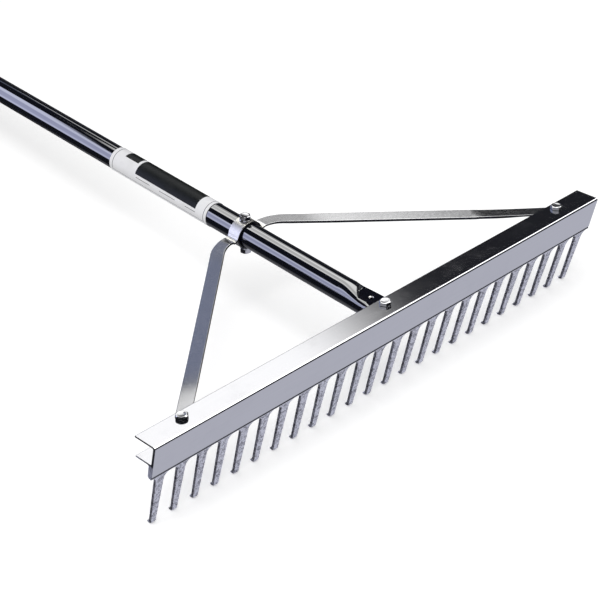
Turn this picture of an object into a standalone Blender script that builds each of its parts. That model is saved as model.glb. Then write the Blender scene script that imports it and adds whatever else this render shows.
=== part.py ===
"""A field rake: an extruded head with a comb of teeth, a black tube handle and two bolted braces.

The head's own frame has its origin at the front top corner of the left end. X runs along the head,
Y back towards the handle's end and Z up, square to the two flanges. The handle's own frame lies on
the tube's axis, with Y along it. An empty then tilts the whole rake until it stands on the tips of
its teeth and on the handle's end cap.
"""

import math

import bmesh
import bpy
from mathutils import Matrix, Vector

# Head, an aluminium extrusion, in metres.
HEAD_LENGTH = 0.6096
TOP_FLANGE_DEPTH = 0.0296
LOWER_FLANGE_DEPTH = 0.0320
FLANGE_THICKNESS = 0.0020
CHANNEL_HEIGHT = 0.0208
WEB_LEAN = math.radians(16.4)
WEB_THICKNESS = 0.0029
WEB_FACE_HEIGHT = 0.0425
BLOCK_TOP_THICKNESS = 0.0062
BLOCK_FOOT_THICKNESS = 0.0055
FRONT_EDGE_RADIUS = 0.0020
FLANGE_EDGE_RADIUS = 0.0005
INNER_FILLET = 0.0010

# Teeth, punched from the lower part of the extrusion. Heights are measured down the web's face.
TOOTH_PITCH = 0.02545
FIRST_TOOTH_AT = 0.0114
TOOTH_ROOT_WIDTH = 0.0098
TOOTH_TIP_WIDTH = 0.0056
TOOTH_THICKNESS = 0.0036
SOLE_DROP = 0.1065
TOOTH_STEP = 0.0007
TOOTH_EXTRA_LEAN = math.radians(1.4)
TOOTH_CORNER_RADIUS = 0.0016
PUNCH_SPACING = 0.0014
ARCH_DROP = 0.0010
ARCH_RADIUS = 0.0072
HEEL_RADIUS = 0.0018
TOE_LENGTH = 0.0020
TOE_HEIGHT = 0.0024
TOE_DROP = 0.0016
TOE_RADIUS = 0.0008

# Handle, a steel tube with a flattened end that sits in the head's channel.
TUBE_RADIUS = 0.0135
TUBE_WALL = 0.0016
TUBE_LENGTH = 1.650
TUBE_SIDES = 36
HANDLE_RISE = math.radians(4.14)
HANDLE_AXIS_DROP = 0.0108
FLAT_LENGTH = 0.0340
FLAT_TAPER = 0.0160
FLAT_HALF_WIDTH = 0.0150
FLAT_SHOULDER = 0.0070
FLAT_SQUARENESS = 6
PILOT_DIAMETER = 0.0030
PILOT_AT = 0.0116
PILOT_OFFSET = 0.0030

# Plastic end cap and paper label of the handle.
CAP_LENGTH = 0.040
CAP_WALL = 0.0018
CAP_FLOOR = 0.0030
CAP_EDGE_RADIUS = 0.0015
LABEL_AT = 0.2445
LABEL_LENGTH = 0.1650
LABEL_THICKNESS = 0.00025

# Braces, two flat bars bent alike.
BRACE_WIDTH = 0.0145
BRACE_THICKNESS = 0.0020
BRACE_END_MARGIN = 0.0020
BRACE_END_BLUNTNESS = 0.35
BRACE_CORNER_OFFSET = 0.0370
BRACE_CORNER_RADIUS = 0.0400
BRACE_FOLD_RADIUS = 0.0016
BRACE_RUN_OUT = 0.0200
BRACE_LEVEL = -0.0015
CLAMP_AT = 0.1962

# Fasteners, quarter-inch hexagon bolts and nuts.
BOLT_DIAMETER = 0.00635
BOLT_ACROSS_FLATS = 0.0111
BOLT_HEAD_HEIGHT = 0.0040
BOLT_CHAMFER = 0.0006
CHAMFER_SLOPE = math.radians(30)
BOLT_STICK_OUT = 0.0020
NUT_HEIGHT = 0.0055
WASHER_DIAMETER = 0.0124
WASHER_THICKNESS = 0.0016
WASHER_SPLIT = 0.0010
SPLIT_SLANT = math.radians(25)
FLANGE_BOLT_INSET = 0.0460
BOLT_DEPTH = 0.0195
FLANGE_BOLT_TURN = math.radians(10)
CENTRE_BOLT_TURN = math.radians(25)
CLAMP_BOLT_TURN = math.radians(15)
HEAD_WASHER_TURN = math.radians(200)
NUT_WASHER_TURN = math.radians(70)

# Clearance between pieces that touch, and round a bolt in its hole.
SEAT_GAP = 0.0003
HOLE_CLEARANCE = 0.0008

ARC_STEP = math.radians(18)
CUTTER_MARGIN = 0.005
MERGE_DISTANCE = 0.00001


def clear_scene():
    """Remove whatever the scene holds."""
    for thing in list(bpy.data.objects):
        bpy.data.objects.remove(thing, do_unlink=True)


def make_collection(name):
    """Add a collection to the scene."""
    collection = bpy.data.collections.new(name)
    bpy.context.scene.collection.children.link(collection)
    return collection


def make_material(name, colour, roughness, metallic):
    """Make a Principled material."""
    material = bpy.data.materials.new(name)
    material.use_nodes = True
    shader = material.node_tree.nodes["Principled BSDF"]
    shader.inputs["Base Color"].default_value = (*colour, 1.0)
    shader.inputs["Roughness"].default_value = roughness
    shader.inputs["Metallic"].default_value = metallic
    return material


def add_part(name, mesh, material, parent):
    """Add a sub-part with its material under its parent empty."""
    part = bpy.data.objects.new(name, mesh)
    mesh.materials.append(material)
    parts.objects.link(part)
    part.parent = parent
    return part


def add_cutter(name, mesh, parent):
    """Add a body that only shapes another one."""
    cutter = bpy.data.objects.new(name, mesh)
    cutters.objects.link(cutter)
    cutter.parent = parent
    cutter.hide_render = True
    cutter.display_type = "WIRE"
    return cutter


def add_empty(name, parent=None):
    """Add an empty that places the pieces under it."""
    empty = bpy.data.objects.new(name, None)
    parts.objects.link(empty)
    empty.parent = parent
    return empty


def combine(part, other, operation):
    """Cut, join or intersect a part with another body."""
    modifier = part.modifiers.new(f"{operation.lower()} {other.name}", "BOOLEAN")
    modifier.operation = operation
    modifier.solver = "EXACT"
    modifier.object = other


def shade(mesh, angle=math.radians(30)):
    """Shade a mesh smooth, with its creases left sharp."""
    mesh.shade_smooth()
    mesh.set_sharp_from_angle(angle=angle)


def rounded(corners):
    """Turn (point, radius) corners into an outline whose corners are arcs."""
    outline = []
    for index, (corner, radius) in enumerate(corners):
        corner = Vector(corner)
        before = (Vector(corners[index - 1][0]) - corner).normalized()
        after = (Vector(corners[(index + 1) % len(corners)][0]) - corner).normalized()
        if radius == 0:
            outline.append(corner)
            continue
        half = before.angle(after) / 2
        centre = corner + (before + after).normalized() * radius / math.sin(half)
        start = corner + before * radius / math.tan(half) - centre
        turn = math.pi - 2 * half
        if before.x * after.y - before.y * after.x > 0:
            turn = -turn
        steps = max(2, round(abs(turn) / ARC_STEP))
        for step in range(steps + 1):
            outline.append(centre + Matrix.Rotation(turn * step / steps, 2) @ start)
    return outline


def extruded(name, outlines, thickness, placing):
    """Fill flat outlines, give them a thickness about their plane and place them as one mesh."""
    curve = bpy.data.curves.new(name, "CURVE")
    curve.dimensions = "2D"
    curve.fill_mode = "BOTH"
    curve.extrude = thickness / 2
    for outline in outlines:
        spline = curve.splines.new("POLY")
        spline.points.add(len(outline) - 1)
        for point, place in zip(spline.points, outline):
            point.co = (place.x, place.y, 0, 1)
        spline.use_cyclic_u = True
    helper = bpy.data.objects.new(name, curve)
    bpy.context.scene.collection.objects.link(helper)
    view = bpy.context.evaluated_depsgraph_get()
    mesh = bpy.data.meshes.new_from_object(helper.evaluated_get(view))
    bpy.data.objects.remove(helper, do_unlink=True)
    bpy.data.curves.remove(curve)
    return welded(name, mesh, placing)


def welded(name, mesh, placing):
    """Weld a mesh's loose caps, turn its faces outwards and place it."""
    body = bmesh.new()
    body.from_mesh(mesh)
    bmesh.ops.remove_doubles(body, verts=body.verts, dist=MERGE_DISTANCE)
    bmesh.ops.transform(body, matrix=placing, verts=body.verts)
    bmesh.ops.recalc_face_normals(body, faces=body.faces)
    body.to_mesh(mesh)
    body.free()
    mesh.name = name
    return mesh


def cylinder_mesh(name, diameter, top, bottom, sides=32):
    """Make an upright cylinder between two heights."""
    body = bmesh.new()
    placing = Matrix.Translation((0, 0, (top + bottom) / 2))
    bmesh.ops.create_cone(body, cap_ends=True, segments=sides, radius1=diameter / 2,
                          radius2=diameter / 2, depth=top - bottom, matrix=placing)
    mesh = bpy.data.meshes.new(name)
    body.to_mesh(mesh)
    body.free()
    return mesh


def turned(name, profile, material, parent, sides=48):
    """Turn a profile of (radius, height) points once round the Z axis."""
    body = bmesh.new()
    points = [body.verts.new((radius, 0, height)) for radius, height in profile]
    for first, second in zip(points, points[1:]):
        body.edges.new((first, second))
    if profile[0][0] > 0:
        body.edges.new((points[-1], points[0]))
    mesh = bpy.data.meshes.new(name)
    body.to_mesh(mesh)
    body.free()
    part = add_part(name, mesh, material, parent)
    screw = part.modifiers.new("turn", "SCREW")
    screw.steps = sides
    screw.render_steps = sides
    screw.use_merge_vertices = True
    screw.merge_threshold = MERGE_DISTANCE
    screw.use_smooth_shade = False
    return part


def on_web(down, behind):
    """Give the (Y, Z) place of a point so far down the web's face and so far behind it."""
    return Vector((math.sin(WEB_LEAN) * down + math.cos(WEB_LEAN) * behind,
                   -math.cos(WEB_LEAN) * down + math.sin(WEB_LEAN) * behind))


def web_at_height(behind, height):
    """Give the (Y, Z) place where a line behind the web's face crosses a height."""
    down = (math.sin(WEB_LEAN) * behind - height) / math.cos(WEB_LEAN)
    return on_web(down, behind)


CHANNEL_TOP = -FLANGE_THICKNESS
CHANNEL_FLOOR = CHANNEL_TOP - CHANNEL_HEIGHT
HEAD_UNDERSIDE = CHANNEL_FLOOR - FLANGE_THICKNESS
TOOTH_COUNT = int((HEAD_LENGTH - FIRST_TOOTH_AT - TOOTH_ROOT_WIDTH / 2) / TOOTH_PITCH) + 1
HOLE_DIAMETER = BOLT_DIAMETER + HOLE_CLEARANCE
THREAD_BORE = BOLT_DIAMETER + 2 * SEAT_GAP
HANDLE_X = HEAD_LENGTH / 2


def tooth_line(down, behind):
    """Give the (Y, Z) place so far down a tooth from the step, and so far behind its front face."""
    down, behind = (down * math.cos(TOOTH_EXTRA_LEAN) - behind * math.sin(TOOTH_EXTRA_LEAN),
                    down * math.sin(TOOTH_EXTRA_LEAN) + behind * math.cos(TOOTH_EXTRA_LEAN))
    return on_web(WEB_FACE_HEIGHT + down, TOOTH_STEP + behind)


def tooth_at_height(behind, height):
    """Give the (Y, Z) place where a line behind a tooth's front face crosses a height."""
    start = tooth_line(0, behind)
    along = tooth_line(1, behind) - start
    return start + along * (height - start.y) / along.y


def toe_corner():
    """Give the (Y, Z) place of the lowest corner of a tooth, at the back of its foot."""
    return tooth_at_height(TOOTH_THICKNESS, -SOLE_DROP) + Vector((TOE_LENGTH, -TOE_DROP))


def head_profile():
    """Outline the extrusion in its (Y, Z) plane, from the top flange round by the front."""
    heel = tooth_at_height(0, -SOLE_DROP)
    toe = toe_corner()
    toe_top = toe.y + TOE_HEIGHT
    ankle = tooth_at_height(TOOTH_THICKNESS, toe_top + TOE_LENGTH / 2)
    return rounded([
        ((TOP_FLANGE_DEPTH, 0), FLANGE_EDGE_RADIUS),
        ((0, 0), FRONT_EDGE_RADIUS),
        (on_web(WEB_FACE_HEIGHT, 0), 0),
        (tooth_line(TOOTH_STEP / 2, 0), 0),
        (heel, HEEL_RADIUS),
        (toe, TOE_RADIUS),
        ((toe.x, toe_top), TOE_RADIUS),
        (ankle, TOE_RADIUS),
        (tooth_line(TOOTH_STEP / 2, TOOTH_THICKNESS), 0),
        (on_web(WEB_FACE_HEIGHT, BLOCK_FOOT_THICKNESS), 0),
        (web_at_height(BLOCK_TOP_THICKNESS, HEAD_UNDERSIDE), INNER_FILLET),
        ((LOWER_FLANGE_DEPTH, HEAD_UNDERSIDE), FLANGE_EDGE_RADIUS),
        ((LOWER_FLANGE_DEPTH, CHANNEL_FLOOR), FLANGE_EDGE_RADIUS),
        (web_at_height(WEB_THICKNESS, CHANNEL_FLOOR), INNER_FILLET),
        (web_at_height(WEB_THICKNESS, CHANNEL_TOP), INNER_FILLET),
        ((TOP_FLANGE_DEPTH, CHANNEL_TOP), FLANGE_EDGE_RADIUS)])


def tooth_gap(centre):
    """Outline the gap between two teeth, as (X, distance down the web's face)."""
    apex = WEB_FACE_HEIGHT + ARCH_DROP
    root_half = (TOOTH_PITCH - TOOTH_ROOT_WIDTH) / 2
    tip_half = (TOOTH_PITCH - TOOTH_TIP_WIDTH) / 2
    foot_half = (TOOTH_PITCH - PUNCH_SPACING) / 2
    foot = toe_corner().dot(on_web(1, 0))
    below = foot + CUTTER_MARGIN
    right_side = [
        ((centre + root_half, apex), ARCH_RADIUS),
        ((centre + tip_half, foot), TOOTH_CORNER_RADIUS),
        ((centre + foot_half, foot), 0),
        ((centre + foot_half, below), 0)]
    left_side = [((2 * centre - x, down), radius) for (x, down), radius in reversed(right_side)]
    return rounded(right_side + left_side)


def make_head():
    """Extrude the head, punch the gaps between its teeth and drill it."""
    placing = Matrix(((0, 0, 1, HEAD_LENGTH / 2), (1, 0, 0, 0), (0, 1, 0, 0), (0, 0, 0, 1)))
    mesh = extruded("rake_head", [head_profile()], HEAD_LENGTH, placing)
    shade(mesh)
    head = add_part("rake_head", mesh, aluminium, rake)
    gaps = [tooth_gap(FIRST_TOOTH_AT + (index - 0.5) * TOOTH_PITCH) for index in range(TOOTH_COUNT + 1)]
    down = on_web(1, 0)
    back = on_web(0, 1)
    placing = Matrix(((1, 0, 0, 0), (0, down.x, back.x, 0), (0, down.y, back.y, 0), (0, 0, 0, 1)))
    punch = extruded("tooth_punch", gaps, 2 * LOWER_FLANGE_DEPTH, placing)
    combine(head, add_cutter("tooth_punch", punch, rake), "DIFFERENCE")
    for x in (*FLANGE_BOLTS, HANDLE_X):
        drill(head, rake, (x, BOLT_DEPTH, 0), CUTTER_MARGIN, CHANNEL_TOP - CUTTER_MARGIN)
    tapped = (HANDLE_X, BOLT_DEPTH, 0)
    drill(head, rake, tapped, CHANNEL_FLOOR + CUTTER_MARGIN, HEAD_UNDERSIDE - CUTTER_MARGIN, THREAD_BORE)


def drill(part, frame, place, top, bottom, diameter=HOLE_DIAMETER):
    """Drill an upright hole through a part, at a place in its frame."""
    cutter = add_cutter(f"{part.name}_drill", cylinder_mesh("drill", diameter, top, bottom), frame)
    cutter.location = place
    combine(part, cutter, "DIFFERENCE")


def tube_ring(flat, centre, tilt):
    """Give one ring of the tube about its widest level. A flat share of 1 has the fully pressed top."""
    flat_depth = CHANNEL_HEIGHT - 2 * SEAT_GAP - FLAT_SHOULDER
    half_width = TUBE_RADIUS + (FLAT_HALF_WIDTH - TUBE_RADIUS) * flat
    above = TUBE_RADIUS + (FLAT_SHOULDER - TUBE_RADIUS) * flat
    below = TUBE_RADIUS + (flat_depth - TUBE_RADIUS) * flat
    power = 2 / (2 + (FLAT_SQUARENESS - 2) * flat)
    turn = Matrix.Rotation(tilt, 3, "X")
    ring = []
    for index in range(TUBE_SIDES):
        angle = 2 * math.pi * (index + 0.5) / TUBE_SIDES
        x = half_width * math.cos(angle)
        z = below * math.sin(angle)
        if z > 0:
            x = half_width * math.copysign(abs(math.cos(angle)) ** power, math.cos(angle))
            z = above * math.sin(angle) ** power
        ring.append(centre + turn @ Vector((x, 0, z)))
    return ring


def skin(name, rings, closed):
    """Join rows of points by an open surface, each row to the next."""
    body = bmesh.new()
    rows = [[body.verts.new(point) for point in ring] for ring in rings]
    for low, high in zip(rows, rows[1:]):
        count = len(low)
        for index in range(count if closed else count - 1):
            after = (index + 1) % count
            body.faces.new((low[index], high[index], high[after], low[after]))
    mesh = bpy.data.meshes.new(name)
    body.to_mesh(mesh)
    body.free()
    return mesh


def tube_start():
    """Give the flattened end's widest level, which stops short of the web, in the handle's frame."""
    y = web_at_height(WEB_THICKNESS, CHANNEL_FLOOR).x + INNER_FILLET + SEAT_GAP
    return handle_matrix().inverted() @ Vector((HANDLE_X, y, CHANNEL_TOP - SEAT_GAP - FLAT_SHOULDER))


def make_handle():
    """Draw the tube from its flattened end to its round one, as a wall, and drill it."""
    start = tube_start()
    bend = start + Matrix.Rotation(-HANDLE_RISE, 3, "X") @ Vector((0, FLAT_LENGTH, 0))
    round_start = Vector((0, bend.y + FLAT_TAPER, 0))
    end = Vector((0, start.y + TUBE_LENGTH, 0))
    rings = [tube_ring(1, start, -HANDLE_RISE)]
    taper_rings = 4
    for index in range(taper_rings + 1):
        share = index / taper_rings
        rings.append(tube_ring(1 - share, bend.lerp(round_start, share), -HANDLE_RISE * (1 - share)))
    rings.append(tube_ring(0, end, 0))
    mesh = skin("handle_tube", rings, closed=True)
    shade(mesh, math.radians(15))
    tube = add_part("handle_tube", mesh, black_paint, handle)
    wall = tube.modifiers.new("wall", "SOLIDIFY")
    wall.thickness = TUBE_WALL
    wall.offset = -1
    wall.use_even_offset = True
    drill(tube, rake, (HANDLE_X, BOLT_DEPTH, 0), CUTTER_MARGIN, HEAD_UNDERSIDE - CUTTER_MARGIN)
    reach = TUBE_RADIUS + CUTTER_MARGIN
    drill(tube, handle, (0, CLAMP_AT, 0), reach, -reach)
    pilot = (HANDLE_X + PILOT_OFFSET, TOP_FLANGE_DEPTH + PILOT_AT, 0)
    drill(tube, rake, pilot, CUTTER_MARGIN, CHANNEL_TOP - CUTTER_MARGIN, PILOT_DIAMETER)


def cap_profile():
    """Give the end cap's (radius, height) profile, with height 0 at the tube's end."""
    inside = TUBE_RADIUS + SEAT_GAP
    outside = inside + CAP_WALL
    floor = CAP_FLOOR + SEAT_GAP
    middle = (outside - CAP_EDGE_RADIUS, floor - CAP_EDGE_RADIUS)
    corner = [(middle[0] + CAP_EDGE_RADIUS * math.cos(angle), middle[1] + CAP_EDGE_RADIUS * math.sin(angle))
              for angle in (math.pi / 2, math.pi / 3, math.pi / 6, 0)]
    return [(0, floor), *corner, (outside, floor - CAP_LENGTH), (inside, floor - CAP_LENGTH),
            (inside, SEAT_GAP), (0, SEAT_GAP)]


def make_end_cap():
    """Turn the cup that closes the handle's far end."""
    cap = turned("handle_end_cap", cap_profile(), black_plastic, handle)
    cap.location = (0, tube_start().y + TUBE_LENGTH, 0)
    cap.rotation_euler = (-math.pi / 2, 0, 0)


def make_label():
    """Wrap the label round the tube."""
    inside = TUBE_RADIUS + SEAT_GAP
    outside = inside + LABEL_THICKNESS
    profile = [(outside, LABEL_LENGTH), (outside, 0), (inside, 0), (inside, LABEL_LENGTH)]
    label = turned("handle_label", profile, paper, handle)
    label.location = (0, LABEL_AT, 0)
    label.rotation_euler = (-math.pi / 2, 0, 0)


def brace_height(y):
    """Give the height of a brace's middle: level under the flange, then rising to the tube's axis."""
    seat = CHANNEL_TOP - SEAT_GAP - BRACE_THICKNESS / 2
    clamp = handle_matrix() @ Vector((0, CLAMP_AT, BRACE_LEVEL))
    rise = math.tan(HANDLE_RISE)
    flange_edge = max(TOP_FLANGE_DEPTH, LOWER_FLANGE_DEPTH)
    run_out = clamp.y - BRACE_RUN_OUT
    if y <= flange_edge:
        return seat
    if y >= run_out:
        return clamp.z + (y - clamp.y) * rise
    run_out_height = clamp.z - BRACE_RUN_OUT * rise
    return seat + (run_out_height - seat) * (y - flange_edge) / (run_out - flange_edge)


def arm_rows():
    """Give the rows across the left arm's middle surface, from its flange end to its fold."""
    clamp = handle_matrix() @ Vector((0, CLAMP_AT, BRACE_LEVEL))
    bolt = Vector((FLANGE_BOLT_INSET, BOLT_DEPTH))
    corner = Vector((HANDLE_X - BRACE_CORNER_OFFSET, clamp.y))
    along = (corner - bolt).normalized()
    half = BRACE_WIDTH / 2
    turn = math.atan2(along.y, along.x)
    tangent = BRACE_CORNER_RADIUS * math.tan(turn / 2)
    rows = []

    def add_row(place, heading, half_width):
        """Lay one row across the bar in plan and lift it to the bar's height."""
        across = Vector((-heading.y, heading.x)) * half_width
        edges = (place - across, place + across)
        rows.append([Vector((edge.x, edge.y, brace_height(edge.y))) for edge in edges])

    round_steps = 6
    for step in range(round_steps):
        angle = math.pi / 2 * (step + BRACE_END_BLUNTNESS) / round_steps
        add_row(bolt - along * (BRACE_END_MARGIN + half * math.cos(angle)), along, half * math.sin(angle))
    straight = (corner - bolt).length - tangent
    arm_steps = 16
    for step in range(arm_steps + 1):
        share = step / arm_steps
        add_row(bolt + along * (straight * share - BRACE_END_MARGIN * (1 - share)), along, half)
    bend_steps = 6
    bend_centre = corner - along * tangent + Vector((along.y, -along.x)) * BRACE_CORNER_RADIUS
    for step in range(1, bend_steps + 1):
        angle = turn * (1 - step / bend_steps)
        heading = Vector((math.cos(angle), math.sin(angle)))
        add_row(bend_centre + Vector((-heading.y, heading.x)) * BRACE_CORNER_RADIUS, heading, half)
    return rows


def strap_rows(level):
    """Give the rows of a strap that folds up beside the tube, from a level of its axis, and over it."""
    arch = TUBE_RADIUS + SEAT_GAP + BRACE_THICKNESS / 2
    fold_centre = level + BRACE_FOLD_RADIUS
    reach = math.sqrt((arch + BRACE_FOLD_RADIUS) ** 2 - fold_centre ** 2)
    fold_turn = math.acos(fold_centre / (arch + BRACE_FOLD_RADIUS))
    path = []
    fold_steps = 4
    for step in range(fold_steps):
        angle = fold_turn * step / fold_steps
        bend = (BRACE_FOLD_RADIUS * math.sin(angle), BRACE_FOLD_RADIUS * math.cos(angle))
        path.append((bend[0] - reach, fold_centre - bend[1]))
    arch_start = math.pi / 2 + fold_turn
    arch_end = math.asin((level + BRACE_THICKNESS / 2 + 2 * SEAT_GAP) / arch)
    arch_steps = 16
    for step in range(arch_steps + 1):
        angle = arch_start + (arch_end - arch_start) * step / arch_steps
        path.append((arch * math.cos(angle), arch * math.sin(angle)))
    placing = handle_matrix()
    half = BRACE_WIDTH / 2
    return [[placing @ Vector((x, CLAMP_AT + edge, z)) for edge in (-half, half)] for x, z in path]


def make_brace(name, side):
    """Bend one bar. Side 1 is the left brace, and side -1 the right, whose strap runs under the tube."""
    arm = arm_rows()
    strap = strap_rows(side * BRACE_LEVEL)
    if side < 0:
        placing = handle_matrix()
        half_turn = placing @ Matrix.Rotation(math.pi, 4, "Y") @ placing.inverted()
        arm = [[Vector((HEAD_LENGTH - point.x, point.y, point.z)) for point in row] for row in arm]
        strap = [[half_turn @ point for point in row] for row in strap]
    brace = add_part(name, skin(name, arm + strap, closed=False), galvanised, rake)
    shade(brace.data)
    bar = brace.modifiers.new("thickness", "SOLIDIFY")
    bar.thickness = BRACE_THICKNESS
    bar.offset = 0
    bar.use_even_offset = True
    bolt_x = FLANGE_BOLT_INSET if side > 0 else HEAD_LENGTH - FLANGE_BOLT_INSET
    drill(brace, rake, (bolt_x, BOLT_DEPTH, 0), CUTTER_MARGIN, CHANNEL_TOP - CUTTER_MARGIN)
    crown = side * (TUBE_RADIUS + BRACE_THICKNESS)
    drill(brace, handle, (0, CLAMP_AT, 0), crown + CUTTER_MARGIN, crown - CUTTER_MARGIN)


def hexagon_mesh(name, top, bottom):
    """Make a hexagonal prism across the bolts' flats."""
    corner_circle = BOLT_ACROSS_FLATS / math.cos(math.pi / 6)
    return cylinder_mesh(name, corner_circle, top, bottom, sides=6)


def chamfer_mesh(name, top, bottom, both):
    """Make the turned body that takes the corners off a hexagon, at its top or at both faces."""
    wide = BOLT_ACROSS_FLATS / math.cos(math.pi / 6) / 2 + BOLT_CHAMFER
    narrow = BOLT_ACROSS_FLATS / 2 - BOLT_CHAMFER / 4
    slope = (wide - narrow) * math.tan(CHAMFER_SLOPE)
    heights = [(narrow, top), (wide, top - slope), (wide, bottom)]
    if both:
        heights = [(narrow, top), (wide, top - slope), (wide, bottom + slope), (narrow, bottom)]
    body = bmesh.new()
    sides = 24
    rings = [[body.verts.new((radius * math.cos(2 * math.pi * index / sides),
                              radius * math.sin(2 * math.pi * index / sides), height))
              for index in range(sides)] for radius, height in heights]
    for high, low in zip(rings, rings[1:]):
        for index in range(sides):
            after = (index + 1) % sides
            body.faces.new((high[index], low[index], low[after], high[after]))
    body.faces.new(rings[0])
    body.faces.new(reversed(rings[-1]))
    mesh = bpy.data.meshes.new(name)
    body.to_mesh(mesh)
    body.free()
    return mesh


def add_bolt(name, frame, place, seat, length, turn):
    """Add a bolt whose head stands on a seat height of its frame and whose shank hangs below."""
    bottom = seat + SEAT_GAP
    top = bottom + BOLT_HEAD_HEIGHT
    bolt = add_part(name, hexagon_mesh(name, top, bottom), zinc, frame)
    bolt.location = place
    bolt.rotation_euler.z = turn
    lens = add_cutter(f"{name}_chamfer", chamfer_mesh("chamfer", top, bottom - CUTTER_MARGIN, False), bolt)
    combine(bolt, lens, "INTERSECT")
    shank = cylinder_mesh("shank", BOLT_DIAMETER, bottom + BOLT_HEAD_HEIGHT / 2, bottom - length, sides=24)
    combine(bolt, add_cutter(f"{name}_shank", shank, bolt), "UNION")


def add_nut(name, frame, place, seat, turn):
    """Add a nut whose top bears on a seat height of its frame."""
    top = seat - SEAT_GAP
    bottom = top - NUT_HEIGHT
    nut = add_part(name, hexagon_mesh(name, top, bottom), zinc, frame)
    nut.location = place
    nut.rotation_euler.z = turn
    combine(nut, add_cutter(f"{name}_chamfer", chamfer_mesh("chamfer", top, bottom, True), nut), "INTERSECT")
    thread = cylinder_mesh("thread", THREAD_BORE, top + CUTTER_MARGIN, bottom - CUTTER_MARGIN, sides=24)
    combine(nut, add_cutter(f"{name}_thread", thread, nut), "DIFFERENCE")


def add_lock_washer(name, place, under, turn):
    """Add a split washer whose lower face is at a height of the handle's frame."""
    outside = WASHER_DIAMETER / 2
    inside = THREAD_BORE / 2
    top = under + WASHER_THICKNESS
    profile = [(outside, top), (outside, under), (inside, under), (inside, top)]
    washer = turned(name, profile, zinc, handle, sides=32)
    washer.location = place
    washer.rotation_euler.z = turn
    body = bmesh.new()
    slant = Matrix.Rotation(SPLIT_SLANT, 4, "X")
    size = Matrix.Diagonal((WASHER_DIAMETER, WASHER_SPLIT, 4 * WASHER_THICKNESS, 1))
    placing = Matrix.Translation((outside, 0, (under + top) / 2)) @ slant @ size
    bmesh.ops.create_cube(body, size=1, matrix=placing)
    slot = bpy.data.meshes.new("split")
    body.to_mesh(slot)
    body.free()
    combine(washer, add_cutter(f"{name}_split", slot, washer), "DIFFERENCE")


def make_fasteners():
    """Bolt the braces and the handle to the head, and the straps to the handle."""
    under_brace = CHANNEL_TOP - SEAT_GAP - BRACE_THICKNESS
    short = SEAT_GAP - under_brace + SEAT_GAP + NUT_HEIGHT + BOLT_STICK_OUT
    for name, x in zip(("left", "right"), FLANGE_BOLTS):
        add_bolt(f"{name}_flange_bolt", rake, (x, BOLT_DEPTH, 0), 0, short, FLANGE_BOLT_TURN)
        add_nut(f"{name}_flange_nut", rake, (x, BOLT_DEPTH, 0), under_brace, 0)
    long = SEAT_GAP - HEAD_UNDERSIDE + BOLT_STICK_OUT
    add_bolt("centre_bolt", rake, (HANDLE_X, BOLT_DEPTH, 0), 0, long, CENTRE_BOLT_TURN)
    crown = TUBE_RADIUS + SEAT_GAP + BRACE_THICKNESS
    clamp = (0, CLAMP_AT, 0)
    seat = crown + SEAT_GAP + WASHER_THICKNESS
    add_lock_washer("clamp_head_washer", clamp, crown + SEAT_GAP, HEAD_WASHER_TURN)
    add_lock_washer("clamp_nut_washer", clamp, -seat, NUT_WASHER_TURN)
    through = 2 * seat + 2 * SEAT_GAP + NUT_HEIGHT + BOLT_STICK_OUT
    add_bolt("clamp_bolt", handle, clamp, seat, through, CLAMP_BOLT_TURN)
    add_nut("clamp_nut", handle, clamp, -seat, CLAMP_BOLT_TURN)


def handle_matrix():
    """Give the handle's frame in the head's frame."""
    place = Matrix.Translation((HANDLE_X, TOP_FLANGE_DEPTH, -HANDLE_AXIS_DROP))
    return place @ Matrix.Rotation(HANDLE_RISE, 4, "X")


def resting_tilt():
    """Give the slope of the ground line that touches the teeth and the end cap from below."""
    end = tube_start().y + TUBE_LENGTH
    low_corners = [handle_matrix() @ Vector((0, end + height, -radius)) for radius, height in cap_profile()]
    return min(max(math.atan2(corner.z - foot.y, corner.y - foot.x) for foot in head_profile())
               for corner in low_corners)


def stand_on_ground(tilt):
    """Tilt the rake so that its ground line is level, and centre its box over the origin."""
    rake.rotation_euler.x = -tilt
    bpy.context.view_layer.update()
    view = bpy.context.evaluated_depsgraph_get()
    corners = []
    for part in parts.objects:
        if part.type == "MESH":
            evaluated = part.evaluated_get(view)
            corners += [evaluated.matrix_world @ vertex.co for vertex in evaluated.data.vertices]
    low = [min(corner[axis] for corner in corners) for axis in range(3)]
    high = [max(corner[axis] for corner in corners) for axis in range(3)]
    rake.location = (-(low[0] + high[0]) / 2, -(low[1] + high[1]) / 2, -low[2])


FLANGE_BOLTS = (FLANGE_BOLT_INSET, HEAD_LENGTH - FLANGE_BOLT_INSET)

clear_scene()
parts = make_collection("field_rake")
cutters = make_collection("cutters")
aluminium = make_material("brushed aluminium", (0.72, 0.73, 0.76), 0.32, 1.0)
galvanised = make_material("galvanised bar", (0.62, 0.62, 0.64), 0.38, 1.0)
zinc = make_material("bright zinc", (0.78, 0.79, 0.80), 0.25, 1.0)
black_paint = make_material("black gloss paint", (0.006, 0.007, 0.014), 0.18, 0.0)
black_plastic = make_material("black plastic", (0.012, 0.012, 0.013), 0.45, 0.0)
paper = make_material("label paper", (0.90, 0.90, 0.89), 0.40, 0.0)

rake = add_empty("rake_frame")
handle = add_empty("handle_frame", rake)
handle.matrix_local = handle_matrix()
make_head()
make_handle()
make_end_cap()
make_label()
make_brace("left_brace", 1)
make_brace("right_brace", -1)
make_fasteners()
stand_on_ground(resting_tilt())
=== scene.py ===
# %% [markdown]
# # A field rake in a white studio
#
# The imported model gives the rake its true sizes, but its solids are faceted and plain. This
# lesson makes the surface that the eye sees: the drawn aluminium of the head, the rough
# teeth, the black enamel of the tube, the paper label and the zinc of the bolts. Each piece
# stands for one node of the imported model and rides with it.

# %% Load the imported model
import math

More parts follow.
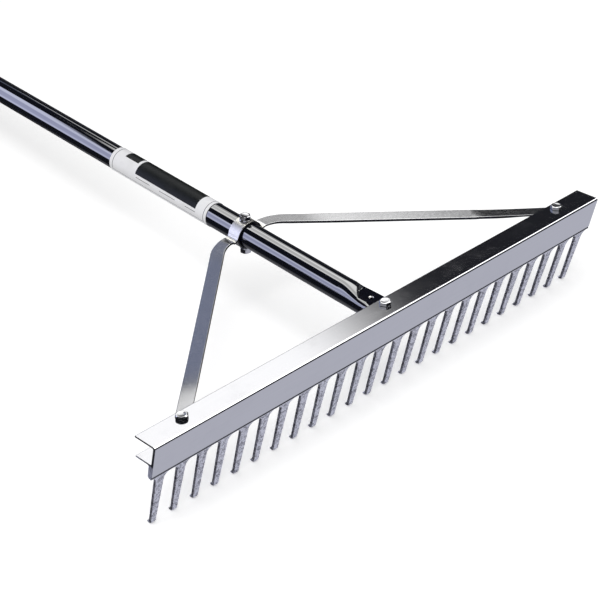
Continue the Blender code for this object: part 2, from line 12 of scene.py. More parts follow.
import bpy
import numpy as np
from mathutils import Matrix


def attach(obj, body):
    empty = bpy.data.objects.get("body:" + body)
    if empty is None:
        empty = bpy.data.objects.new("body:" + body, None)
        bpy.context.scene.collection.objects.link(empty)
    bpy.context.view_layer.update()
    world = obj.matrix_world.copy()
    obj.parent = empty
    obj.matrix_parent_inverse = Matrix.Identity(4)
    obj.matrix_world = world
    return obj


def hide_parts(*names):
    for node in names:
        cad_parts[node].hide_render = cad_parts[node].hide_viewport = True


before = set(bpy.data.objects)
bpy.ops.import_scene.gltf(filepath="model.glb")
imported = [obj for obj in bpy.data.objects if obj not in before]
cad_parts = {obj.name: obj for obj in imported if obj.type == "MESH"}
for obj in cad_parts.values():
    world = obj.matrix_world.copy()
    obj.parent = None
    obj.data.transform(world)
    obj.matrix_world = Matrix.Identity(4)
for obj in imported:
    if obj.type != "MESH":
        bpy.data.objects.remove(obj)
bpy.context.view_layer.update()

print("nodes:", ", ".join(sorted(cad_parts)))

# %% [markdown]
# ## Two frames of reference
#
# The rake stands on the tips of its teeth and on the end of its handle, so nothing on it is
# level. It is easier to work in the head's own frame, where the flange is flat, and in the
# handle's frame, where the tube's axis is the Y axis. Two small functions carry whole arrays
# of points from those frames to the world, so that every piece has its place in its mesh.

# %% The frames of the head and of the handle
MM = 0.001
HEAD_LENGTH = 609.6 * MM
HANDLE_X = HEAD_LENGTH / 2
HEAD_CORNER = (-304.8 * MM, -831.016 * MM, 111.784 * MM)
HEAD_TILT = math.radians(-7.0131)
HANDLE_ROOT = (HANDLE_X, 29.6 * MM, -10.8 * MM)
HANDLE_RISE = math.radians(4.14)


def turned_about_x(points, angle):
    """Turn points about the X axis: Y and Z mix by the cosine and the sine of the angle."""
    x, y, z = np.moveaxis(np.asarray(points, float), -1, 0)
    return np.stack([x, y * math.cos(angle) - z * math.sin(angle),
                     y * math.sin(angle) + z * math.cos(angle)], axis=-1)


def from_head(points):
    """Carry points from the head's frame to the world."""
    return turned_about_x(points, HEAD_TILT) + HEAD_CORNER


def from_handle(points):
    """Carry points from the handle's frame to the world, by way of the head's frame."""
    return from_head(turned_about_x(points, HANDLE_RISE) + HANDLE_ROOT)


print("front corner of the head:", np.round(from_head((0, 0, 0)), 4))

# %% [markdown]
# ## The camera
#
# The rake is seen from above its left end, from about a metre and a half. The lens is a long
# one, so the head's two long edges run almost parallel.

# %% Place the camera
CAMERA_PLACE = (-1.01392, -1.72703, 1.12387)
CAMERA_TURN = (53.3568, -1.7100, -43.1624)
LENS_MM = 104.346
SENSOR_MM = 36


def add_object(name, data):
    """Put a camera, a lamp or a mesh into the scene as an object."""
    thing = bpy.data.objects.new(name, data)
    bpy.context.scene.collection.objects.link(thing)
    return thing


lens = bpy.data.cameras.new("camera")
lens.lens = LENS_MM
lens.sensor_width = SENSOR_MM
camera = add_object("camera", lens)
camera.location = CAMERA_PLACE
camera.rotation_euler = [math.radians(angle) for angle in CAMERA_TURN]
bpy.context.scene.camera = camera
bpy.context.scene.view_settings.view_transform = "Standard"
print("camera stands", round(math.dist(CAMERA_PLACE, HEAD_CORNER), 2), "m from the head's corner")

# %% [markdown]
# ## Small helpers for nodes
#
# Every finish below is a node tree. A tree can be drawn by hand in the editor, but in a script
# it is easier to repeat and to read. These helpers keep it short: each adds one node, sets its
# sockets to numbers or links them, and gives the output, so that calls nest like a formula.

# %% Node helpers
def feed(tree, socket, value):
    """Link a socket to another one, or set it to a plain value. A colour is opaque."""
    if isinstance(value, bpy.types.NodeSocket):
        tree.links.new(value, socket)
    elif socket.type == "RGBA":
        socket.default_value = (*value, 1.0)
    else:
        socket.default_value = value


def calc(tree, operation, *values):
    """Add a Math node and give its result."""
    node = tree.nodes.new("ShaderNodeMath")
    node.operation = operation
    for socket, value in zip(node.inputs, values):
        feed(tree, socket, value)
    return node.outputs[0]


def scaled(tree, value, low, high):
    """Stretch a value from the range 0 to 1 to another range."""
    return calc(tree, "MULTIPLY_ADD", value, high - low, low)


def step(tree, value, low, high):
    """Rise smoothly from 0 at one value to 1 at another, or fall where the first is the higher."""
    node = tree.nodes.new("ShaderNodeMapRange")
    node.interpolation_type = "SMOOTHSTEP"
    feed(tree, node.inputs["Value"], value)
    feed(tree, node.inputs["From Min"], low)
    feed(tree, node.inputs["From Max"], high)
    return node.outputs["Result"]


def window(tree, value, low, high, soft):
    """Give 1 between two values and 0 outside them, with soft edges."""
    rise = step(tree, value, calc(tree, "SUBTRACT", low, soft), calc(tree, "ADD", low, soft))
    fall = step(tree, value, calc(tree, "SUBTRACT", high, soft), calc(tree, "ADD", high, soft))
    return calc(tree, "SUBTRACT", rise, fall)


def mixed(tree, share, first, second):
    """Mix two colours by a share."""
    node = tree.nodes.new("ShaderNodeMix")
    node.data_type = "RGBA"
    feed(tree, node.inputs[0], share)
    feed(tree, node.inputs[6], first)
    feed(tree, node.inputs[7], second)
    return node.outputs[2]


def noise(tree, vector, scale, detail=2.0, roughness=0.5):
    """Add a noise texture and give its value."""
    node = tree.nodes.new("ShaderNodeTexNoise")
    for label, value in zip(("Vector", "Scale", "Detail", "Roughness"), (vector, scale, detail, roughness)):
        feed(tree, node.inputs[label], value)
    return node.outputs["Fac"]


def split(tree, vector):
    """Split a vector into its three numbers."""
    node = tree.nodes.new("ShaderNodeSeparateXYZ")
    feed(tree, node.inputs[0], vector)
    return node.outputs


def stretched(tree, vector, scale):
    """Scale a vector unevenly, so that a pattern runs in long lines."""
    node = tree.nodes.new("ShaderNodeVectorMath")
    node.operation = "MULTIPLY"
    feed(tree, node.inputs[0], vector)
    feed(tree, node.inputs[1], scale)
    return node.outputs["Vector"]


print("each helper adds one node or a few, and gives an output socket")

# %% [markdown]
# ## The studio
#
# Polished metal and enamel show little of their own colour: they show the room. The studio
# is white paper below, dark above it, with one large soft box overhead and behind the
# rake and a lavender panel low on the left. Real boxes and panels would light the floor and
# the paper label too. So the world paints them for mirrored rays only, by azimuth and
# elevation in degrees, and an even world and one soft lamp light plain surfaces. Their
# colours then come out about as they are written.

# %% Start the world
world = bpy.data.worlds.new("studio")
bpy.context.scene.world = world
world.use_nodes = True
world.cycles.sampling_method = "NONE"
sky = world.node_tree
sky.nodes.clear()

direction = split(sky, sky.nodes.new("ShaderNodeTexCoord").outputs["Generated"])
azimuth = calc(sky, "DEGREES", calc(sky, "ARCTAN2", direction["Y"], direction["X"]))
elevation = calc(sky, "DEGREES", calc(sky, "ARCSINE", direction["Z"]))


def patch(sides, heights, soft):
    """Give 1 in a patch of the sky, between two azimuths and two elevations. Soft gives the
    softness of its upright edges and of its level ones."""
    return calc(sky, "MULTIPLY", window(sky, azimuth, *sides, soft[0]),
                window(sky, elevation, *heights, soft[1]))


def sloping(line):
    """Give the elevation of a sloping edge: its height at an azimuth, plus its slope times the
    distance from there."""
    start, height, slope = line
    return calc(sky, "MULTIPLY_ADD", calc(sky, "SUBTRACT", azimuth, start), slope, height)


print("the world is painted by azimuth and elevation")

# %% [markdown]
# The overhead box has a slanted right edge. Its lower edge is low on the right, steps up at an
# azimuth of about 60 degrees and slopes up from there. Its light is weakest along the bottom.
# The flange mirrors that weak part, and the tube, which reflects a sixth of what metal does,
# mirrors the strong part.

# %% Hang the overhead box
BOX_SIDES = (20.0, 98.0)
BOX_RIGHT_LOW = 25.0
BOX_LOW = (68.0, 38.2, 0.22)
BOX_TOP = 84.0
BOX_SOFT = (1.2, 0.8)
BOX_STEP = 59.6
BOX_SLANT_AT = (49.6, 27.0)
BOX_SLANT = 0.86
BOX_SLANT_SOFT = 3.0
BOX_GLOW = (1.55, 4.3)
BOX_GLOW_RISE = (34.6, 38.2)
BOX_DIP = 0.66
BOX_DIP_SIDES = (61.5, 86.0)
BOX_DIP_SOFT = 2.5

past_step = step(sky, azimuth, BOX_STEP - BOX_SOFT[0], BOX_STEP + BOX_SOFT[0])
stepped_up = calc(sky, "SUBTRACT", sloping(BOX_LOW), BOX_RIGHT_LOW)
box_low = calc(sky, "MULTIPLY_ADD", past_step, stepped_up, BOX_RIGHT_LOW)
slanted = calc(sky, "MULTIPLY_ADD", calc(sky, "SUBTRACT", elevation, BOX_SLANT_AT[1]), BOX_SLANT, azimuth)
past_slant = step(sky, slanted, BOX_SLANT_AT[0] - BOX_SLANT_SOFT, BOX_SLANT_AT[0] + BOX_SLANT_SOFT)
box = calc(sky, "MULTIPLY", past_slant, patch(BOX_SIDES, (box_low, BOX_TOP), BOX_SOFT))
glow = scaled(sky, step(sky, elevation, *BOX_GLOW_RISE), *BOX_GLOW)
dip = scaled(sky, window(sky, azimuth, *BOX_DIP_SIDES, BOX_DIP_SOFT), 1.0, BOX_DIP)
box_light = calc(sky, "MULTIPLY", glow, dip)
print("overhead box: radiance", BOX_GLOW)

# %% [markdown]
# The lavender panel stands low behind the left side. It is what gives the tube its broad
# blue-grey stripe. Its top and bottom edges slope, and both are brighter than its middle.

# %% Stand the lavender panel
PANEL_SIDES = (104.0, 150.0)
PANEL_TOP = (119.0, 33.0, -0.40)
PANEL_BOTTOM = (142.0, -7.4, 0.39)
PANEL_SOFT = (2.0, 1.3)
PANEL_MIDDLE = (1.90, 2.00, 2.90)
PANEL_RIM = (3.15, 3.30, 4.25)
UPPER_RIM_FADE = (8.2, 4.6)
LOWER_RIM_FADE = (15.0, 9.0)
LOWER_RIM_SHARE = 0.5

panel_top = sloping(PANEL_TOP)
panel_bottom = sloping(PANEL_BOTTOM)
panel = patch(PANEL_SIDES, (panel_bottom, panel_top), PANEL_SOFT)
upper_rim = step(sky, calc(sky, "SUBTRACT", panel_top, elevation), *UPPER_RIM_FADE)
lower_rim = step(sky, calc(sky, "SUBTRACT", elevation, panel_bottom), *LOWER_RIM_FADE)
rim = calc(sky, "MAXIMUM", upper_rim, calc(sky, "MULTIPLY", lower_rim, LOWER_RIM_SHARE))
panel_light = mixed(sky, rim, PANEL_MIDDLE, PANEL_RIM)
print("lavender panel: radiance", PANEL_MIDDLE, "to", PANEL_RIM)

# %% [markdown]
# A card overhead in front draws the bright line on the head's front edge. White paper in front
# and below is what the web and the teeth mirror. The rest of the room is dark, apart from a
# plain grey behind the camera and a few walls. The left arm mirrors the dim wall, the tube and
# the label mirror the low one, and the others show mostly from other sides. The patches are
# painted one over the other, in the order of the tables.

# %% Finish the studio
DARK = (0.020, 0.021, 0.026)
ROOM = (0.55, 0.56, 0.60)
PAPER = (0.61, 0.62, 0.71)
FAR_PAPER = (0.17, 0.17, 0.19)
WALLS = (
    ("right wall", (-24.0, 16.0), (-4.0, 32.0), (4.0, 3.0), (0.2055, 0.20965, 0.2269)),
    ("far wall", (72.0, 106.0), (-24.0, 8.0), (3.0, 2.0), ROOM),
    ("low wall", (14.0, 66.0), (-32.0, 5.0), (3.0, 3.0), (0.055, 0.055, 0.06)),
    ("camera's gap", (-104.0, -74.0), (33.0, 50.0), (4.0, 3.0), DARK),
    ("dim wall", (60.0, 106.0), (8.0, 30.5), (1.0, 1.0), (0.33, 0.37, 0.53)))
CARD_SIDES = (-75.0, 22.0)
CARD_LOW = (-50.0, 46.0, -0.16)
CARD_TOP = 66.0
CARD_SOFT = (4.0, 2.0)
CARD_LIGHT = (3.4, 3.4, 3.4)
CAMERA_SIDE = (-108.0, 158.0, 6.0)
CAMERA_SIDE_RISE = (-30.0, 0.0)
PAPER_BELOW = (-43.0, -49.0)
PAPER_AHEAD = (-16.0, -26.0)
AHEAD = (-170.0, 16.0, 10.0)
FAR_SIDE = (30.0, 150.0, 8.0)
EVEN_LIGHT = (0.56, 0.56, 0.56)
WHITE = (1.0, 1.0, 1.0)

behind_camera = calc(sky, "SUBTRACT", 1.0, window(sky, azimuth, *CAMERA_SIDE))
room = calc(sky, "MULTIPLY", behind_camera, step(sky, elevation, *CAMERA_SIDE_RISE))
mirrored = mixed(sky, room, DARK, ROOM)
for name, sides, heights, soft, colour in WALLS:
    mirrored = mixed(sky, patch(sides, heights, soft), mirrored, colour)
below = step(sky, elevation, *PAPER_BELOW)
paper_below = mixed(sky, window(sky, azimuth, *FAR_SIDE), PAPER, FAR_PAPER)
ahead = calc(sky, "MULTIPLY", window(sky, azimuth, *AHEAD), step(sky, elevation, *PAPER_AHEAD))
card = patch(CARD_SIDES, (sloping(CARD_LOW), CARD_TOP), CARD_SOFT)
for mask, light in ((below, paper_below), (ahead, PAPER), (panel, panel_light),
                    (card, CARD_LIGHT), (box, box_light)):
    mirrored = mixed(sky, mask, mirrored, light)

path = sky.nodes.new("ShaderNodeLightPath").outputs
mirror_ray = calc(sky, "MAXIMUM", path["Is Glossy Ray"], path["Is Transmission Ray"])
seen = mixed(sky, path["Is Camera Ray"], EVEN_LIGHT, WHITE)
background = sky.nodes.new("ShaderNodeBackground")
feed(sky, background.inputs["Color"], mixed(sky, mirror_ray, seen, mirrored))
feed(sky, sky.nodes.new("ShaderNodeOutputWorld").inputs["Surface"], background.outputs[0])
print("world nodes:", len(sky.nodes), "walls:", ", ".join(wall[0] for wall in WALLS))

# %% [markdown]
# ## Paper floor and lamp
#
# The floor is a sheet of white paper that keeps a faint shadow. Its own glow is seen by the
# camera alone, so it lights nothing. Mirrored rays pass it by and meet the painted studio.

# %% Lay the floor and hang the lamp
FLOOR_SIZE = 14.0
FLOOR_PLAIN = {"Base Color": (0.90, 0.90, 0.90), "Roughness": 0.9, "Specular IOR Level": 0.0,
               "Emission Color": WHITE}
FLOOR_GLOW = 0.30
LAMP_PLACE = (-1.1, -1.5, 2.9)
LAMP_TURN = (-22, -18, 0)
LAMP_SIZE = 2.4
LAMP_WATTS = 62.0


def new_material(name, plain):
    """Make a material, set plain values on its shader, and give the material and its tree."""
    material = bpy.data.materials.new(name)
    material.use_nodes = True
    tree = material.node_tree
    for label, value in plain.items():
        feed(tree, tree.nodes["Principled BSDF"].inputs[label], value)
    return material, tree


floor_paper, tree = new_material("floor paper", FLOOR_PLAIN)
seen = tree.nodes.new("ShaderNodeLightPath").outputs["Is Camera Ray"]
feed(tree, tree.nodes["Principled BSDF"].inputs["Emission Strength"],
     calc(tree, "MULTIPLY", seen, FLOOR_GLOW))

half = FLOOR_SIZE / 2
sheet = bpy.data.meshes.new("floor")
sheet.from_pydata([(-half, -half, 0), (half, -half, 0), (half, half, 0), (-half, half, 0)],
                  [], [(0, 1, 2, 3)])
sheet.materials.append(floor_paper)
floor = add_object("floor", sheet)
floor.visible_glossy = False

lamp = bpy.data.lights.new("soft lamp", "AREA")
lamp.size = LAMP_SIZE
lamp.energy = LAMP_WATTS
lamp_stand = add_object("soft lamp", lamp)
lamp_stand.location = LAMP_PLACE
lamp_stand.rotation_euler = [math.radians(angle) for angle in LAMP_TURN]
lamp_stand.visible_glossy = False
print("floor of", FLOOR_SIZE, "m and one soft lamp of", LAMP_WATTS, "W")

# %% [markdown]
# ## Patterns that several finishes share
#
# Real surfaces differ in small ways from place to place. Four node groups hold those ways:
# the fine lines that a die leaves along an extrusion, the pits of tumbled metal, the frosty
# patches of galvanising, and the faint smears of handling. A picture could carry them too, but
# it would need a map for each piece. A procedural pattern reads object coordinates, so it
# stays on its piece at its true scale.

# %% Build the shared node groups
ALONG_X = (0.008, 1.0, 1.0)
ALONG_Z = (1.0, 1.0, 0.4)
CLOUD_SCALE = 14.0
BLOT_FINENESS = 0.28
BLOT_SHARE = 0.35
PIT_EDGES = (0.52, 0.43)
MIST_FINENESS = 2.2
MIST_SHARE = 0.55
SMEAR_EDGES = (0.48, 0.70)
SPECK_FINENESS = 34.0
SPECK_EDGES = (0.72, 0.78)


def new_group(name, inputs, outputs):
    """Start a node group with named inputs and outputs: one Vector, and floats."""
    group = bpy.data.node_groups.new(name, "ShaderNodeTree")
    for labels, way in ((inputs, "INPUT"), (outputs, "OUTPUT")):
        for label in labels:
            kind = "NodeSocketVector" if label == "Vector" else "NodeSocketFloat"
            group.interface.new_socket(name=label, in_out=way, socket_type=kind)
    return group, group.nodes.new("NodeGroupInput").outputs, group.nodes.new("NodeGroupOutput").inputs


drawn_lines, given, result = new_group("drawn lines", ("Vector", "Fineness"), ("Line", "Cloud"))
along_x = stretched(drawn_lines, given["Vector"], ALONG_X)
feed(drawn_lines, result["Line"], noise(drawn_lines, along_x, given["Fineness"], 3.0, 0.6))
feed(drawn_lines, result["Cloud"], noise(drawn_lines, given["Vector"], CLOUD_SCALE, 3.0))

tumble_marks, given, result = new_group("tumble marks", ("Vector", "Fineness"), ("Pit", "Height"))
grain = noise(tumble_marks, given["Vector"], given["Fineness"], 4.0, 0.65)
coarse = calc(tumble_marks, "MULTIPLY", given["Fineness"], BLOT_FINENESS)
blot = calc(tumble_marks, "MULTIPLY", noise(tumble_marks, given["Vector"], coarse, 2.0), BLOT_SHARE)
both = calc(tumble_marks, "MULTIPLY_ADD", grain, 1 - BLOT_SHARE, blot)
feed(tumble_marks, result["Pit"], step(tumble_marks, both, *PIT_EDGES))
feed(tumble_marks, result["Height"], both)

spangle, given, result = new_group("spangle", ("Vector", "Size"), ("Tone", "Height"))
cells = spangle.nodes.new("ShaderNodeTexVoronoi")
feed(spangle, cells.inputs["Vector"], stretched(spangle, given["Vector"], ALONG_Z))
feed(spangle, cells.inputs["Scale"], given["Size"])
cell_tone = spangle.nodes.new("ShaderNodeSeparateColor")
feed(spangle, cell_tone.inputs[0], cells.outputs["Color"])
finer = calc(spangle, "MULTIPLY", given["Size"], MIST_FINENESS)
mist = noise(spangle, given["Vector"], finer, 4.0, 0.7)
misty = calc(spangle, "MULTIPLY", mist, MIST_SHARE)
feed(spangle, result["Tone"], calc(spangle, "MULTIPLY_ADD", cell_tone.outputs[0], 1 - MIST_SHARE, misty))
feed(spangle, result["Height"], mist)

handling, given, result = new_group("handling", ("Vector", "Size"), ("Smear", "Speck"))
smear = noise(handling, given["Vector"], given["Size"], 3.0, 0.6)
feed(handling, result["Smear"], step(handling, smear, *SMEAR_EDGES))
tiny = calc(handling, "MULTIPLY", given["Size"], SPECK_FINENESS)
dots = noise(handling, given["Vector"], tiny, 1.0)
feed(handling, result["Speck"], step(handling, dots, *SPECK_EDGES))
print("node groups:", ", ".join(group.name for group in bpy.data.node_groups))

# %% [markdown]
# ## The finishes
#
# Each finish starts as a material with its plain values, puts shared groups into it, and ends
# with a colour, a roughness and a fine relief on the shader's own sockets. Three helpers do
# what all of them need.

# %% Helpers for finishes
METAL = {"Metallic": 1.0}


def new_finish(name, plain):
    """Start a piece's material. Give it with its tree and the object coordinates."""
    material, tree = new_material(name, plain)
    return material, tree, tree.nodes.new("ShaderNodeTexCoord").outputs["Object"]


def place_group(tree, group, **values):
    """Put a shared group into a material and give its outputs."""
    node = tree.nodes.new("ShaderNodeGroup")
    node.node_tree = group
    for label, value in values.items():
        feed(tree, node.inputs[label], value)
    return node.outputs


def finished(material, colour, roughness, relief=None):
    """Feed a colour and a roughness to the shader, and give the material. A relief is a height,
    its strength and its depth in metres, which bump the normal."""
    tree = material.node_tree
    sockets = tree.nodes["Principled BSDF"].inputs
    feed(tree, sockets["Base Color"], colour)
    feed(tree, sockets["Roughness"], roughness)
    if relief:
        bump = tree.nodes.new("ShaderNodeBump")
        for label, value in zip(("Height", "Strength", "Distance"), relief):
            feed(tree, bump.inputs[label], value)
        feed(tree, sockets["Normal"], bump.outputs["Normal"])
    return material


print("plain values of a metal:", METAL)

# %% [markdown]
# The head left the die with fine lines along its length, so it mirrors the studio in a
# band that is drawn out across them. Below the step the teeth were punched and tumbled, which
# left them grey and pitted. The saw left its marks on the two ends, and above a height, where
# the thin walls are, their colour is near black.

# %% Make the finishes of the head
# Near black colour of the sawn ends above a height, and that height.
DARK_END_COLOUR = (0.05, 0.05, 0.052)
DARK_END_ABOVE = 84 * MM
DARK_END_FADE = 3 * MM
ABOVE_ALL = 1.0


def drawn_aluminium():
    """Bright extruded metal with lines along X and faint clouds."""
    material, tree, place = new_finish("drawn aluminium", METAL)
    lines = place_group(tree, drawn_lines, Vector=place, Fineness=900.0)
    marks = place_group(tree, handling, Vector=place, Size=26.0)
    tone = mixed(tree, lines["Line"], (0.60, 0.60, 0.615), (0.645, 0.645, 0.66))
    colour = mixed(tree, scaled(tree, marks["Smear"], 0.0, 0.10), tone, (0.50, 0.50, 0.52))
    clouded = scaled(tree, lines["Cloud"], 0.055, 0.085)
    roughness = calc(tree, "MULTIPLY_ADD", marks["Smear"], 0.05, clouded)
    return finished(material, colour, roughness, (lines["Line"], 0.11, 0.00003))


def tumbled_aluminium():
    """Grey, pitted metal of the punched teeth."""
    material, tree, place = new_finish("tumbled aluminium", METAL)
    marks = place_group(tree, tumble_marks, Vector=place, Fineness=980.0)
    colour = mixed(tree, marks["Pit"], (0.77, 0.77, 0.81), (0.20, 0.20, 0.22))
    roughness = scaled(tree, marks["Height"], 0.26, 0.46)
    return finished(material, colour, roughness, (marks["Height"], 0.5, 0.00022))


def cut_metal(name, light, dark, fineness, roughness, dark_above=ABOVE_ALL):
    """Rough metal of a cut face: the edge of a bar or a sawn end, with fine upright marks.
    Above a height in metres, where a sawn end has its thin walls, the colour is near black."""
    material, tree, place = new_finish(name, METAL)
    upright = stretched(tree, place, (1.0, 1.0, 0.15))
    marks = place_group(tree, tumble_marks, Vector=upright, Fineness=fineness)
    darkened = step(tree, split(tree, place)["Z"], dark_above, dark_above + DARK_END_FADE)
    colour = mixed(tree, darkened, mixed(tree, marks["Pit"], light, dark), DARK_END_COLOUR)
    return finished(material, colour, scaled(tree, marks["Height"], *roughness),
                    (marks["Height"], 0.4, 0.0001))


aluminium = drawn_aluminium()
tooth_metal = tumbled_aluminium()
sawn = cut_metal("sawn end", (0.64, 0.64, 0.68), (0.36, 0.36, 0.39), 1500.0, (0.50, 0.70), DARK_END_ABOVE)
print("head:", ", ".join(material.name for material in (aluminium, tooth_metal, sawn)))

# %% [markdown]
# The bars were galvanised and then cut to length by shears. The straps' zinc is paler and
# more matt than the arms'. The bolts are plated with bright zinc, and the tube has a thick,
# smooth coat of black enamel, which mirrors the studio as sharply as a clear coat does.

# %% Make the finishes of the bars, the bolts and the tube
def galvanised_bar(name, light, dark, roughness):
    """Grey zinc patches over flat steel bar, with smears."""
    material, tree, place = new_finish(name, METAL)
    patches = place_group(tree, spangle, Vector=place, Size=420.0)
    marks = place_group(tree, handling, Vector=place, Size=60.0)
    tone = mixed(tree, patches["Tone"], dark, light)
    colour = mixed(tree, scaled(tree, marks["Smear"], 0.0, 0.3), tone, dark)
    return finished(material, colour, scaled(tree, patches["Tone"], *roughness),
                    (patches["Height"], 0.08, 0.00003))


def bright_zinc():
    """Thin bright plating, a little cloudy."""
    material, tree, place = new_finish("bright zinc", METAL)
    marks = place_group(tree, handling, Vector=place, Size=180.0)
    grain = place_group(tree, tumble_marks, Vector=place, Fineness=900.0)
    colour = mixed(tree, marks["Smear"], (0.58, 0.58, 0.59), (0.44, 0.44, 0.45))
    roughness = scaled(tree, marks["Smear"], 0.12, 0.20)
    return finished(material, colour, roughness, (grain["Height"], 0.10, 0.00006))


def black_enamel():
    """Deep, glossy coat with a slight ripple and a few specks of dust."""
    glossy = {"Specular IOR Level": 1.0, "Coat Weight": 1.0, "Coat Roughness": 0.04}
    material, tree, place = new_finish("black enamel", glossy)
    marks = place_group(tree, handling, Vector=place, Size=22.0)
    colour = mixed(tree, marks["Speck"], (0.0018, 0.0022, 0.0055), (0.03, 0.03, 0.035))
    roughness = scaled(tree, marks["Smear"], 0.035, 0.075)
    return finished(material, colour, roughness, (noise(tree, place, 70.0, 1.0), 0.06, 0.0003))


bar_zinc = galvanised_bar("galvanised bar", (0.475, 0.475, 0.48), (0.395, 0.395, 0.40), (0.12, 0.18))
strap_zinc = galvanised_bar("bent strap", (0.61, 0.60, 0.555), (0.51, 0.50, 0.46), (0.34, 0.46))
# The narrow edge faces of the bars are coloured near black: painted shade.
shaded_black = cut_metal("sheared edge", (0.045, 0.045, 0.048), (0.015, 0.015, 0.016), 1100.0, (0.28, 0.50))
bolt_zinc = bright_zinc()
enamel = black_enamel()
print("the rest:", ", ".join(item.name for item in (bar_zinc, strap_zinc, shaded_black, bolt_zinc, enamel)))

# %% [markdown]
# ## Meshes from arrays
#
# Every piece below is a sheet of points with rows and columns, worked out as one array. Each
# row is a ring, and its neighbours join it with four-sided faces. The first and the last row
# get flat caps, or are joined to each other where the sheet closes on itself. The volume of
# such a skin is then measured, and its faces are turned round if it is negative, so that they
# always point outwards.

# %% Skins from grids
def grid_faces(rows, columns, closed):
    """List the faces of a grid of points whose rows are rings. It is capped, or closed on itself."""
    index = np.arange(rows * columns).reshape(rows, columns)
    index = np.concatenate([index, index[:, :1]], axis=1)
    if closed:
        index = np.concatenate([index, index[:1]], axis=0)
    quads = np.stack([index[:-1, :-1], index[:-1, 1:], index[1:, 1:], index[1:, :-1]], axis=-1)
    faces = quads.reshape(-1, 4).tolist()
    if not closed:
        faces.append(list(range(columns))[::-1])
        faces.append(list(range((rows - 1) * columns, rows * columns)))
    return faces


def volume(points, faces):
    """Add up the signed volumes of the tetrahedra from the first point to each triangle of a skin."""
    corners = np.array([(face[0], face[k], face[k + 1]) for face in faces for k in range(1, len(face) - 1)])
    a, b, c = (points[corners[:, k]] - points[0] for k in range(3))
    return np.einsum("ij,ij->i", a, np.cross(b, c)).sum() / 6


def skin(grid, numbers=0, closed=False):
    """Give a grid's points, its faces turned outwards and its material numbers: one for them all,
    or one for each face."""
    points = grid.reshape(-1, 3)
    faces = grid_faces(*grid.shape[:2], closed)
    if volume(points, faces) < 0:
        faces = [face[::-1] for face in faces]
    return points, faces, np.broadcast_to(numbers, len(faces)).tolist()


def lathe(rows, sides):
    """Turn rows of (radius, height) round the Z axis: X and Y are the radius times the cosine and
    the sine. A radius or a height is one number, or one for each side."""
    radii, heights = (np.array([np.broadcast_to(row[k], sides) for row in rows]) for k in (0, 1))
    angle = 2 * math.pi * np.arange(sides) / sides
    return np.stack([radii * np.cos(angle), radii * np.sin(angle), heights], axis=-1)


def make_piece(name, node, skins, materials, smooth_below=30):
    """Join closed skins into one piece that stands for a node and rides with it."""
    points, faces, numbers = [], [], []
    for skin_points, skin_faces, skin_numbers in skins:
        start = sum(map(len, points))
        points.append(skin_points)
        faces += [[corner + start for corner in face] for face in skin_faces]
        numbers += skin_numbers
    mesh = bpy.data.meshes.new(name)
    mesh.from_pydata(np.concatenate(points).tolist(), [], faces)
    mesh.polygons.foreach_set("material_index", np.array(numbers, np.int32))
    mesh.shade_smooth()
    mesh.set_sharp_from_angle(angle=math.radians(smooth_below))
    for material in materials:
        mesh.materials.append(material)
    piece = add_object(name, mesh)
    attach(piece, "root")
    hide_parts(node)
    print(f"{name}: {len(mesh.vertices)} points, {len(mesh.polygons)} faces")
    return piece


print("two rings of four points have", len(grid_faces(2, 4, False)), "faces")

# %% [markdown]
# Real edges are never sharp, and a bright line runs along each of them. A bevel modifier could
# round them, but it would have to find them again on every piece. Here the outlines have their
# rounds from the start. A point close before and after each round keeps the flat faces beside
# it flat when they are shaded.

# %% Rounded outlines
EDGE_SUPPORT = 0.12 * MM
CORNER_SUPPORT = 0.03
ROUND_SHARE = 0.9


def circle(angle):
    """Give the cosine and the sine of each angle as a pair."""
    return np.stack([np.cos(angle), np.sin(angle)], axis=-1)


def rounded(corners, steps=6):
    """Turn (y, z, radius) corners into an outline. An arc about a centre on the corner's bisector
    replaces each corner, at radius over the sine of half the angle from it."""
    corners = np.array(corners, float)
    places, radii = corners[:, :2], corners[:, 2]
    outline = []
    for index, (corner, radius) in enumerate(zip(places, radii)):
        if radius == 0:
            outline.append(corner[None])
            continue
        before = places[index - 1] - corner
        after = places[(index + 1) % len(places)] - corner
        before /= np.linalg.norm(before)
        after /= np.linalg.norm(after)
        half = math.acos(np.clip(before @ after, -1, 1)) / 2
        bisector = (before + after) / np.linalg.norm(before + after)
        centre = corner + bisector * radius / math.sin(half)
        start = corner + before * radius / math.tan(half) - centre
        turn = math.copysign(math.pi - 2 * half, after[0] * before[1] - after[1] * before[0])
        angle = turn * np.linspace(0, 1, steps + 1)[:, None]
        arc = centre + start * np.cos(angle) + np.array([-start[1], start[0]]) * np.sin(angle)
        outline += [arc[:1] + before * EDGE_SUPPORT, arc, arc[-1:] + after * EDGE_SUPPORT]
    return np.concatenate(outline)


def rounded_section(flat_steps, side_steps, corner_steps=3):
    """Give a rounded rectangle as two arrays: where a point sits between the corners' centres,
    from -1 to 1 each way, and the direction in which the corner's radius is added."""
    seats = []
    ways = []
    signs = [(1, 1), (-1, 1), (-1, -1), (1, -1)]
    for number, sign in enumerate(signs):
        angles = math.pi / 2 * (number + np.linspace(0, 1, corner_steps + 1))
        seats.append(np.tile(sign, (len(angles), 1)))
        ways.append(circle(angles))
        count = flat_steps if number % 2 == 0 else side_steps
        inner = np.linspace(0, 1, count + 1)[1:-1]
        share = np.concatenate([[CORNER_SUPPORT], inner, [1 - CORNER_SUPPORT]])[:, None]
        seats.append((1 - share) * sign + share * signs[(number + 1) % 4])
        ways.append(np.tile(ways[-1][-1], (len(share), 1)))
    return np.concatenate(seats).astype(float), np.concatenate(ways)


print("points round a section of 10 by 2 steps:", len(rounded_section(10, 2)[0]))

